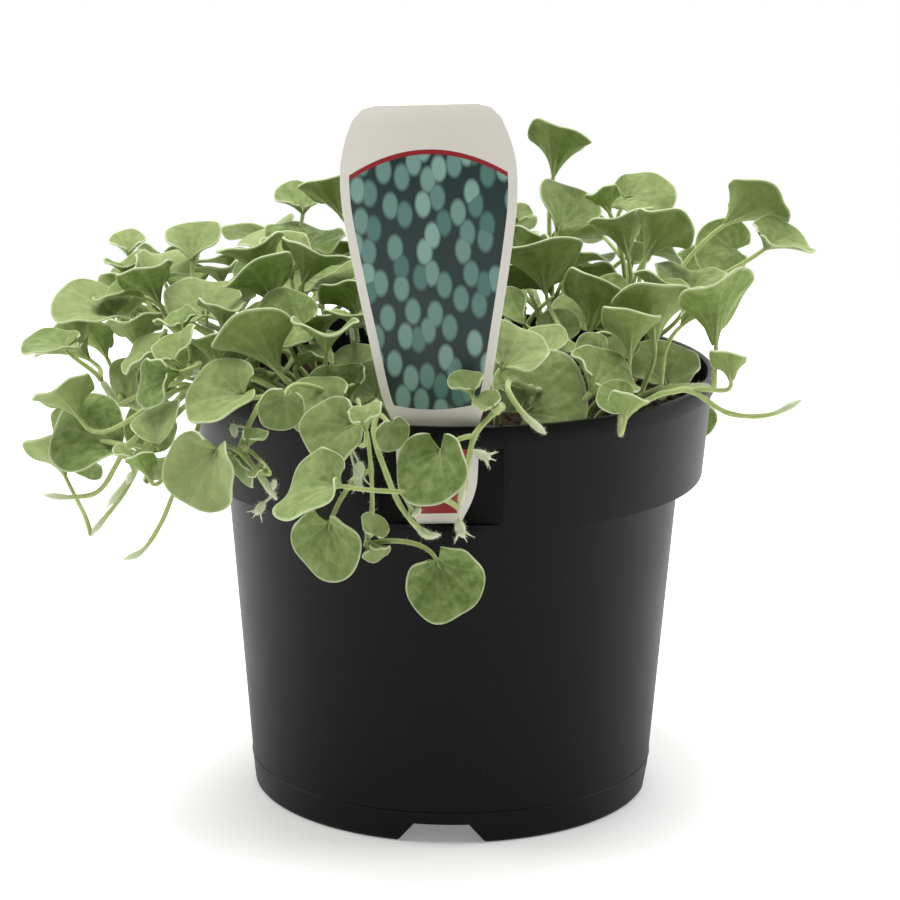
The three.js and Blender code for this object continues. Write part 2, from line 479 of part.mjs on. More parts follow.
const path = (points, steps) => new THREE.CatmullRomCurve3(points, false, 'catmullrom', 0.5).getPoints(steps);
const PATH_STEPS = 8;
const ROOT_STEP = 3;

// A stem's centre line, from its root in the soil
function centreLine([x, y], points) {
  const root = [v3(x, y, SOIL_TOP - HOLE_DEPTH + 1), v3(x, y, SOIL_TOP + ROOT_STEP)];
  const all = [...root, ...points];
  return path(all, (all.length - 1) * PATH_STEPS);
}

// The joint of a stem nearest to a share of its length above the soil: leaves spring from the joints
function jointAt(line, share) {
  const joints = (line.length - 1) / PATH_STEPS;
  return line[PATH_STEPS * (1 + Math.ceil(share * (joints - 1) - 0.5))];
}

// The stems of the table
function listedStems() {
  const random = draws(SEED);
  return STEMS.map(([name, radius, root, places, rows]) => {
    const line = centreLine(root, places.map(([px, py, depth]) => seen(px, py, depth)));
    const leaves = rows.map(([share, px, py, depth, width, direction, lean, face, fold, arch, spread]) => {
      const [d, t] = [rad(direction), rad(lean)];
      const way = mix([RIGHT, Math.cos(t) * Math.cos(d)], [UP, Math.cos(t) * Math.sin(d)], [BACK, Math.sin(t)]);
      const axes = bladeAxes(way, mix([RIGHT, face[0]], [UP, face[1]], [BACK, face[2]]), fold);
      const place = (nudge) => seen(px, py, depth + nudge);
      const [phase, wave] = [2 * Math.PI * random(), 0.025 + 0.03 * random()];
      return { share, place, width, ...axes, fold, arch, spread, phase, wave };
    });
    return { name, radius, line, leaves };
  });
}

// The stems that a rule makes, with leaves in turn on either side
function ruleStems() {
  const random = draws(SEED + 1);
  const up = v3(0, 0, 1);
  return RULE_STEMS.map(([name, bearing, places, count]) => {
    const out = v3(Math.sin(rad(bearing)), Math.cos(rad(bearing)), 0);
    const side = out.clone().cross(up);
    const sway = 5 * (random() - 0.5);
    const points = places.map(([r, z], i) => mix([out, r], [side, (sway * i) / 3], [up, z + 2 * (random() - 0.5)]));
    const root = places[0][0] - ROOT_INWARD;
    const line = centreLine([root * out.x, root * out.y], points);
    const leaves = [];
    for (let i = 0; i < count; i++) {
      const share = 0.26 + (0.7 * i) / (count - 1);
      const hand = i % 2 ? 1 : -1;
      const hang = places === BACK_PATH ? Math.max(0, (share - 0.55) / 0.45) : 0;
      const width = 18 + 7 * random() - 7 * hang;
      const spread = random() < 0.5 ? 150 : 112;
      const [reach, rise] = [6 + 5 * random(), (1 - hang) * (8 + 9 * random()) + 2];
      const from = jointAt(line, share);
      const place = (nudge) => mix([from, 1], [side, hand * reach], [up, rise], [out, 3 + 4 * hang + nudge]);
      const way = mix([side, hand * (0.5 + 0.5 * random())], [out, 0.5 + 0.4 * random()],
        [up, 0.6 - 1.3 * hang + 0.4 * random()]).normalize();
      const look = mix([up, 0.9 - 0.5 * hang], [out, 0.4 + 0.9 * hang], [side, 0.3 * (random() - 0.5)]);
      const [fold, arch] = [(1 - hang) * (16 + 20 * random()) + 14, 10 * (random() - 0.5)];
      const [phase, wave] = [2 * Math.PI * random(), 0.025 + 0.03 * random()];
      leaves.push({ share, place, width, ...bladeAxes(way, look, fold), fold, arch, spread, phase, wave });
    }
    return { name, radius: 1.0, line, leaves };
  });
}

// Settling: each blade and its stalk take the first place that is clear of all that is already there, and
// a blade with no room stays smaller.
const SAMPLE = 2.2;
const CLEAR_OTHER = 2;
const CLEAR_OWN = 1.2;
const NUDGES = [0, 2, -2, 4, -4, 6, -6, 8, -8, 11, -11, 14, -14, 17, -17];
const SHRINKS = [1, 0.86, 0.74, 0.62];
const SWAYS = [[0, 0, 0], [0, 0, 4], [0, 0, -4], [4, 0, 0], [-4, 0, 0], [0, 4, 0], [0, 0, 8], [0, 0, -8], [8, 0, 0],
  [-8, 0, 0], [0, 8, 0]];
const STALK_STEP = 9;
const STALK_STEPS_MOST = 3;

function cloud(stem, points) {
  const centre = mix(...points.map((p) => [p, 1 / points.length]));
  return { stem, points, centre, reach: Math.max(...points.map((p) => p.distanceTo(centre))) };
}

function bladeSamples(leaf) {
  const points = [];
  const rings = Math.ceil((BLADE_LENGTH * leaf.width) / SAMPLE);
  for (let j = 1; j <= rings; j++) {
    const count = Math.ceil(((j / rings) * leaf.width * 0.9 * rad(leaf.spread)) / SAMPLE);
    for (let i = 0; i <= count; i++) {
      points.push(bladePoint(leaf, rad(leaf.spread) * ((2 * i) / count - 1), j / rings));
    }
  }
  return points;
}

// The stalk from a point on the stem to the blade's base, swayed aside by some mm
function stalkCurve(from, leaf, sway) {
  const span = leaf.base.distanceTo(from);
  const arrive = mix([coneOf(leaf).axis, 1], [leaf.m, 0.6]).normalize();
  const leave = mix([leaf.base, 1 / span], [from, -1 / span], [v3(0, 0, 1), 0.6]).normalize();
  const aside = mix([RIGHT, sway[0]], [UP, sway[1]], [NEAR, sway[2]]);
  const first = mix([from, 1], [leave, 0.3 * span], [aside, 1]);
  const second = mix([leaf.base, 1], [arrive, -0.4 * span], [aside, 0.5]);
  return new THREE.CubicBezierCurve3(from, first, second, leaf.base);
}

// Whether a point lies in or too near the pot, the soil or the label
function inTheWay(p) {
  const r = Math.hypot(p.x, p.y);
  const wallOutside = p.z > COLLAR_BOTTOM - 1 ? RIM_RADIUS + 1 : BODY_TOP_RADIUS + 1;
  if (p.z < POT_HEIGHT + 1.2 && r < wallOutside && (r > RIM_RADIUS - LIP - 1.2 || p.z < SOIL_TOP + 1.2)) return true;
  const across = p.x - LABEL_MIDDLE + Math.tan(rad(LABEL_LEAN)) * (p.z - POT_HEIGHT);
  return Math.abs(p.y - LABEL_PLANE) < 1.2 && p.z < 197 && Math.abs(across) < labelHalf(p.z) + 0.8;
}

function hits(points, stem, placed, otherGap, ownGap) {
  const own = cloud(stem, points);
  let count = 0;
  for (const p of points) if (inTheWay(p)) count++;
  for (const item of placed) {
    const gap = item.stem === stem ? ownGap : otherGap;
    if (gap === 0 || item.centre.distanceTo(own.centre) > item.reach + own.reach + gap) continue;
    for (const p of points) if (item.points.some((q) => p.distanceToSquared(q) < gap * gap)) count++;
  }
  return count;
}

function settle(stems) {
  const stalks = [];
  const blades = [];
  const lines = stems.map((stem) => cloud(stem.name, stem.line));
  for (const stem of stems) {
    for (const leaf of stem.leaves) {
      const from = jointAt(stem.line, leaf.share);
      const fullWidth = leaf.width;
      let best = null;
      for (const [shrink, nudge] of SHRINKS.flatMap((shrink) => NUDGES.map((nudge) => [shrink, nudge]))) {
        leaf.width = fullWidth * shrink;
        leaf.base = leaf.place(nudge);
        const samples = bladeSamples(leaf);
        const around = [...lines, ...stalks, ...blades];
        const bladeHits = hits(samples, stem.name, around, CLEAR_OTHER, CLEAR_OWN);
        if (best && bladeHits >= best.score) continue;
        for (const sway of SWAYS) {
          const curve = stalkCurve(from, leaf, sway);
          const points = curve.getPoints(12).slice(1, -1);
          const stalkHits = hits(points, stem.name, [...lines, ...stalks], CLEAR_OTHER, 0)
            + hits(points, stem.name, blades, CLEAR_OTHER, CLEAR_OWN);
          const score = bladeHits + stalkHits;
          if (!best || score < best.score) {
            best = { score, width: leaf.width, base: leaf.base, stalk: curve, samples, points };
          }
          if (score === bladeHits) break;
        }
        if (best.score === 0) break;
      }
      Object.assign(leaf, { width: best.width, base: best.base, stalk: best.stalk, score: best.score });
      blades.push(cloud(stem.name, best.samples));
      stalks.push(cloud(stem.name, best.points));
    }
  }
}

const STEM_SIDES = 4;
const TIP_SWELL = 0.5;
const SLIVER = 0.02;

// One leafy stem as a single solid, its stalks sunk into the stem and the blades
function stemSolid(stem) {
  const swell = (share) => stem.radius * (1 + TIP_SWELL * Math.max(0, (share - 0.93) / 0.07));
  const coarse = stem.line.filter((_, i) => i % PATH_STEPS === 0);
  let solid = rod(coarse, swell, STEM_SIDES);
  for (const leaf of stem.leaves) {
    const steps = Math.ceil(leaf.stalk.getLength() / STALK_STEP);
    const stalk = leaf.stalk.getPoints(Math.min(STALK_STEPS_MOST, Math.max(2, steps)));
    solid = solid.add(leafSolid(leaf, stalk, Math.min(STALK_RADIUS, 0.07 * leaf.width)));
  }
  return solid.decompose().reduce((a, b) => (a.volume() > b.volume() ? a : b)).simplify(SLIVER);
}

// Half the label's width at a height, a smooth curve through a few widths
const LABEL_WIDTHS = [[90.5, 5.4], [94.2, 7.4], [98, 9.4], [104.5, 10.2], [111.5, 10.3], [116.6, 10.4], [120.2, 12.5],
  [125.5, 13.9], [140.5, 16.5], [152.6, 18.7], [163, 20.4], [171.5, 21.6], [178.7, 21.8], [183.4, 21.4], [188, 20.2],
  [192.7, 18.3], [195.4, 15.6], [196.2, 12.6]];

function labelHalf(z) {
  const i = LABEL_WIDTHS.findIndex(([height]) => height > z);
  if (i <= 0) return i < 0 ? 0 : LABEL_WIDTHS[0][1];
  const [[z0, w0], [z1, w1]] = [LABEL_WIDTHS[i - 1], LABEL_WIDTHS[i]];
  return w0 + ((w1 - w0) * (z - z0)) / (z1 - z0);
}

// The label: a thin plastic card whose tongue runs down behind the strap
function labelSolid() {
  const outline = (hand) => LABEL_WIDTHS.map(([z, half]) => new THREE.Vector2(hand * half, z - POT_HEIGHT));
  const shape = new THREE.Shape([...outline(1), ...outline(-1).reverse()]);
  const card = new THREE.ExtrudeGeometry(shape, { depth: LABEL_THICK, bevelEnabled: false });
  card.rotateX(Math.PI / 2).rotateY(-rad(LABEL_LEAN));
  return solidOf(card.translate(LABEL_MIDDLE, LABEL_PLANE + LABEL_THICK / 2, POT_HEIGHT));
}

// The pot's outside, from the underside to the rim
const OUTSIDE = [[BASE_RADIUS - 0.8, 0], [BASE_RADIUS, 0.8], [BODY_TOP_RADIUS, COLLAR_BOTTOM],
  [COLLAR_RADIUS, COLLAR_BOTTOM], [RIM_RADIUS - 0.7, POT_HEIGHT - LIP_HEIGHT], [RIM_RADIUS, POT_HEIGHT - LIP_HEIGHT],
  [RIM_RADIUS, POT_HEIGHT]];
const INSIDE = [[RIM_RADIUS - LIP, POT_HEIGHT], [RIM_RADIUS - LIP - 0.3, POT_HEIGHT - LIP_HEIGHT],
  [COLLAR_RADIUS - WALL, COLLAR_BOTTOM + WALL], [BODY_TOP_RADIUS - WALL, COLLAR_BOTTOM + WALL],
  [BASE_RADIUS + 0.5 - WALL, FLOOR_UNDERSIDE + WALL]];

// The moulded pot: shell, raised floor with drain holes, notched foot ring, and the recess with its strap
function potSolid() {
  const underside = [[0, 0], [BOSS_RADIUS, 0], [BOSS_RADIUS + 0.4, FLOOR_UNDERSIDE],
    [BASE_RADIUS - FOOT_WIDTH, FLOOR_UNDERSIDE], [BASE_RADIUS - FOOT_WIDTH, 0]];
  let pot = turned([...underside, ...OUTSIDE, ...INSIDE, [0, FLOOR_UNDERSIDE + WALL]]);
  const { bottom, top, height, count } = NOTCH;
  const trapezoid = new THREE.Shape([new THREE.Vector2(-bottom / 2, -1), new THREE.Vector2(bottom / 2, -1),
    new THREE.Vector2(top / 2, height), new THREE.Vector2(-top / 2, height)]);
  for (let i = 0; i < count; i++) {
    const notch = new THREE.ExtrudeGeometry(trapezoid, { depth: 8, bevelEnabled: false });
    notch.rotateX(Math.PI / 2).translate(0, -BASE_RADIUS + 7, 0).rotateZ((2 * Math.PI * i) / count);
    pot = pot.subtract(solidOf(notch));
  }
  for (let i = 0; i < DRAIN.count; i++) {
    const angle = (2 * Math.PI * (i + 0.5)) / DRAIN.count;
    const drain = new THREE.CylinderGeometry(DRAIN.radius, DRAIN.radius, 8, 12).rotateX(Math.PI / 2);
    drain.translate(DRAIN.circle * Math.cos(angle), DRAIN.circle * Math.sin(angle), FLOOR_UNDERSIDE);
    pot = pot.subtract(solidOf(drain));
  }
  const half = RECESS_WIDTH / 2;
  const whole = turned([[0, 0], ...OUTSIDE, [0, POT_HEIGHT]]);
  const inner = -(RECESS_FACE - WALL);
  pot = pot.subtract(block([-half, -80, RECESS_FOOT], [half, -60, POT_HEIGHT + 1]));
  const panel = block([-half - WALL, -RECESS_FACE, RECESS_FOOT - WALL], [half + WALL, inner, RECESS_TOP]);
  const shelf = block([-half, -80, RECESS_FOOT - WALL], [half, inner, RECESS_FOOT]);
  const cheeks = block([-half - WALL, -80, RECESS_FOOT - WALL], [-half, inner, RECESS_TOP])
    .add(block([half, -80, RECESS_FOOT - WALL], [half + WALL, inner, RECESS_TOP]));
  const band = turned([[STRAP_INNER, STRAP_BOTTOM], [RIM_RADIUS, STRAP_BOTTOM], [RIM_RADIUS, POT_HEIGHT],
    [STRAP_INNER, POT_HEIGHT], [STRAP_INNER, STRAP_BOTTOM]]);
  const strap = band.intersect(block([-half - 1, -80, STRAP_BOTTOM], [half + 1, -60, POT_HEIGHT]));
  return pot.add(panel.add(shelf).add(cheeks).intersect(whole)).add(strap);
}

// The soil: fills the pot to below its rim, slightly humped, with a plain hole round each root
function soilSolid(stems) {
  const fit = GAP + 0.1;
  const low = FLOOR_UNDERSIDE + WALL + fit;
  const profile = [[0, low], [BASE_RADIUS + 0.5 - WALL - fit, low],
    [BODY_TOP_RADIUS - WALL - fit, COLLAR_BOTTOM + WALL + fit],
    [COLLAR_RADIUS - WALL - fit, COLLAR_BOTTOM + WALL + fit],
    [COLLAR_RADIUS - WALL - fit + 1, SOIL_TOP - SOIL_HUMP],
    [0, SOIL_TOP]];
  let soil = turned(profile, POT_SIDES);
  const half = RECESS_WIDTH / 2 + WALL + fit;
  soil = soil.subtract(block([-half, -80, RECESS_FOOT - WALL - fit], [half, -RECESS_FACE + WALL + fit, 120]));
  for (const stem of stems) {
    const root = stem.line[0];
    const hole = new THREE.CylinderGeometry(stem.radius + GAP + 0.1, stem.radius + GAP + 0.1, HOLE_DEPTH + 6, 6);
    hole.rotateX(Math.PI / 2).translate(root.x, root.y, SOIL_TOP + 3 - HOLE_DEPTH / 2);
    soil = soil.subtract(solidOf(hole));
  }
  return soil;
}

// Materials
const material = (color, roughness, side = THREE.FrontSide) => new THREE.MeshStandardMaterial({ color, roughness, side });
const FINISH = {
  pot: material(0x17181a, 0.45),
  soil: material(0x2e2118, 0.95),
  label: material(0xd2cec4, 0.4),
  foliage: material(0x93a878, 0.85),
};

const group = new THREE.Group();
function node(name, solid, finish) {
  const mesh = new THREE.Mesh(geometryFrom(solid), FINISH[finish]);
  mesh.name = name;
  group.add(mesh);
}

const stems = [...listedStems(), ...ruleStems()];
settle(stems);
node('pot', potSolid(), 'pot');
node('soil', soilSolid(stems), 'soil');
node('label', labelSolid(), 'label');
for (const stem of stems) node(`stem_${stem.name}`, stemSolid(stem), 'foliage');

export default group;
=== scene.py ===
# Silver falls dichondra in its nursery pot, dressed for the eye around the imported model.
import math

import bmesh
import bpy
import numpy as np
from mathutils import Matrix, Vector


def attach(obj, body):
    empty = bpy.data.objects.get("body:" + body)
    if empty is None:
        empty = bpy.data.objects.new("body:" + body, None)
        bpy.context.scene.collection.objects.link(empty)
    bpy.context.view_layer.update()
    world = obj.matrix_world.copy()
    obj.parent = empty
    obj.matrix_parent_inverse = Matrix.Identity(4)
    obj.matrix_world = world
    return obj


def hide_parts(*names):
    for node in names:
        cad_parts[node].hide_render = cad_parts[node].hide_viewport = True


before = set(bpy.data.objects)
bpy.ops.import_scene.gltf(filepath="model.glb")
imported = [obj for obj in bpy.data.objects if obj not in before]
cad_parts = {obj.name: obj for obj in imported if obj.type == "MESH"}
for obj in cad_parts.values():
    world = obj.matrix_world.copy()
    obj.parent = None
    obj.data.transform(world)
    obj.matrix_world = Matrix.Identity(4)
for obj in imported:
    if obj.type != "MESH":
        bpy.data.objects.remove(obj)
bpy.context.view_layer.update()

MM = 0.001

# The camera. Turn, tilt and roll in degrees, the rest in mm and picture units.
VIEW_TURN, VIEW_TILT, VIEW_ROLL = 2.5, 14.404, 0.423
VIEW_DISTANCE, VIEW_FOCAL = 874.5, 3231.3
AIM_X, AIM_Z = -0.83, 92.5
PICTURE_SIZE = 900
PICTURE_MIDDLE = PICTURE_SIZE / 2
SENSOR = 36.0

# The pot, in mm
POT_HEIGHT = 116.2
RIM_RADIUS = 70.0
COLLAR_RADIUS = 67.3
COLLAR_BOTTOM = 88.2
BODY_TOP_RADIUS = 61.05
BASE_RADIUS = 54.0
WALL = 1.3
LIP = 1.9
LIP_HEIGHT = 4.6
FLOOR_UNDERSIDE = 6.0
FOOT_WIDTH = 2.4
BOSS_RADIUS = 13.0
NOTCH_COUNT, NOTCH_BOTTOM, NOTCH_TOP, NOTCH_HEIGHT = 4, 25.0, 14.5, 5.4
DRAIN_COUNT, DRAIN_RADIUS, DRAIN_CIRCLE = 6, 4.0, 38.0
RECESS_WIDTH = 31.0
RECESS_FACE = 65.85
RECESS_FOOT = 90.2
STRAP_INNER = 68.3
STRAP_BOTTOM = 110.6

# Soil and label, in mm
SOIL_TOP = 106.0
SOIL_HUMP = 1.1
HOLE_DEPTH = 14.0
LABEL_PLANE = -66.5
LABEL_THICK = 0.7
LABEL_LEAN = 2.1
LABEL_MIDDLE = -1.4

# Plant
SEED = 11
STALK_RADIUS = 0.65
BLADE_HALF = 0.26


def hexcolor(text):
    """sRGB hex to a linear RGBA tuple."""
    parts = [int(text[i:i + 2], 16) / 255 for i in (1, 3, 5)]
    linear = [p / 12.92 if p <= 0.04045 else ((p + 0.055) / 1.055) ** 2.4 for p in parts]
    return (*linear, 1.0)


# The view, and places read in the picture


def vec(x, y, z):
    return np.array([x, y, z], float)


TURN, TILT, ROLL = (math.radians(a) for a in (VIEW_TURN, VIEW_TILT, VIEW_ROLL))
NEAR = vec(math.sin(TURN), -math.cos(TURN), 0)
RIGHT = vec(math.cos(TURN), math.sin(TURN), 0)
SKY = vec(0, 0, 1)
BACK = NEAR * math.cos(TILT) + SKY * math.sin(TILT)
UP = SKY * math.cos(TILT) - NEAR * math.sin(TILT)
EYE = RIGHT * AIM_X + SKY * AIM_Z + BACK * VIEW_DISTANCE


def seen(px, py, depth):
    """The point in mm seen at a picture place, on the upright plane depth mm before the pot's axis."""
    across = px - PICTURE_MIDDLE
    above = PICTURE_MIDDLE - py
    x = math.cos(ROLL) * across - math.sin(ROLL) * above
    y = math.sin(ROLL) * across + math.cos(ROLL) * above
    ray = RIGHT * x + UP * y - BACK * VIEW_FOCAL
    return EYE + ray * ((depth - EYE @ NEAR) / (ray @ NEAR))


def unit(v):
    return v / np.linalg.norm(v)


def draws(seed):
    """Seeded draws from 0 to 1, the same ones that the model of the stems makes."""
    state = seed
    mask = 0xFFFFFFFF

    def draw():
        nonlocal state
        state = (state + 0x6D2B79F5) & mask
        t = ((state ^ (state >> 15)) * (state | 1)) & mask
        t = ((t + (((t ^ (t >> 7)) * (t | 61)) & mask)) & mask) ^ t
        return ((t ^ (t >> 14)) & mask) / 4294967296

    return draw


# Blades. A blade's own axes are its midrib m, its left side l and the normal n of its upper face.

KIDNEY_SPREAD = 138
FAN_SPREAD = 110
CONE_REACH = 168
FOLD_FLAT = 20
FOLD_RANGE = 24
RIGHTING = 0.85
FLARE = 0.75
FLARE_LEAST = 6
BLADE_LENGTH = 0.8


def wedge_of(leaf):
    """0 for a kidney blade with a deep notch at the stalk, 1 for a fan on a wedge base."""
    return min(1, max(0, (KIDNEY_SPREAD - leaf["spread"]) / (KIDNEY_SPREAD - FAN_SPREAD)))


def rim_radius(leaf, theta):
    """The rim's distance from the base at angles from the midrib, in shares of the width."""
    wedge = wedge_of(leaf)
    offset = 0.2 + 0.2 * wedge
    circle = offset * np.cos(theta) + np.sqrt(0.25 - (offset * np.sin(theta)) ** 2)
    lobe = 1 - (0.2 + 0.8 * wedge) * (np.abs(theta) / math.radians(leaf["spread"])) ** (9 - 5 * wedge)
    flat_tip = 1 - (0.03 + 0.1 * wedge) * np.exp(-((theta / (0.25 + 0.35 * wedge)) ** 2))
    phase = leaf["phase"]
    uneven = 1 + 0.045 * np.sin(2 * theta + phase) + 0.02 * np.sin(5 * theta + 1.7 * phase)
    return circle * lobe * flat_tip * uneven


def blade_axes(way, look, fold):
    """A blade's own axes. A flat blade's midrib runs along its way and its upper face looks along its look;
    a folded blade is turned up so that the axis of its cone comes near its way."""
    face = unit(look - way * (look @ way))
    upright = min(1, max(0, (fold - FOLD_FLAT) / FOLD_RANGE))
    turn = RIGHTING * upright * math.radians(90 - fold)
    m = way * math.cos(turn) - face * math.sin(turn)
    n = face * math.cos(turn) + way * math.sin(turn)
    return dict(m=m, n=n, l=np.cross(n, m))


def cone_of(leaf):
    """The opening and the axis of the cone that a folded blade bends round, and the way out to the midrib."""
    opening = math.radians(90 - leaf["fold"])
    axis = leaf["m"] * math.cos(opening) + leaf["n"] * math.sin(opening)
    front = leaf["m"] * math.sin(opening) - leaf["n"] * math.cos(opening)
    return opening, axis, front


def blade_points(leaf, theta, share):
    """Points of the blade at angles from the midrib and shares of the way from its base to its rim.

    The blade is a cone round its axis, nearly flat or a steep funnel, that flares towards a wavy rim.
    """
    opening, axis, front = cone_of(leaf)
    radius = leaf["width"] * rim_radius(leaf, theta)
    turned = theta * min(1 / math.sin(opening), CONE_REACH / leaf["spread"])
    bend = np.radians(FLARE * leaf["fold"] + FLARE_LEAST - leaf["arch"] * np.maximum(0, np.cos(theta)))
    start = opening - bend / 2
    slope = start + bend * share
    lift = leaf["wave"] * leaf["width"] * share ** 3 * np.sin(3.2 * theta + leaf["phase"])
    lift = lift + 0.6 * leaf["wave"] * leaf["width"] * share ** 4 * np.sin(7 * theta + 2.3 * leaf["phase"])
    out = radius * (np.cos(start) - np.cos(slope)) / bend - lift * np.cos(slope)
    up = radius * (np.sin(slope) - np.sin(start)) / bend + lift * np.sin(slope)
    steps = (up, axis), (out * np.cos(turned), front), (out * np.sin(turned), leaf["l"])
    return leaf["base"] + sum(amount[..., None] * way for amount, way in steps)


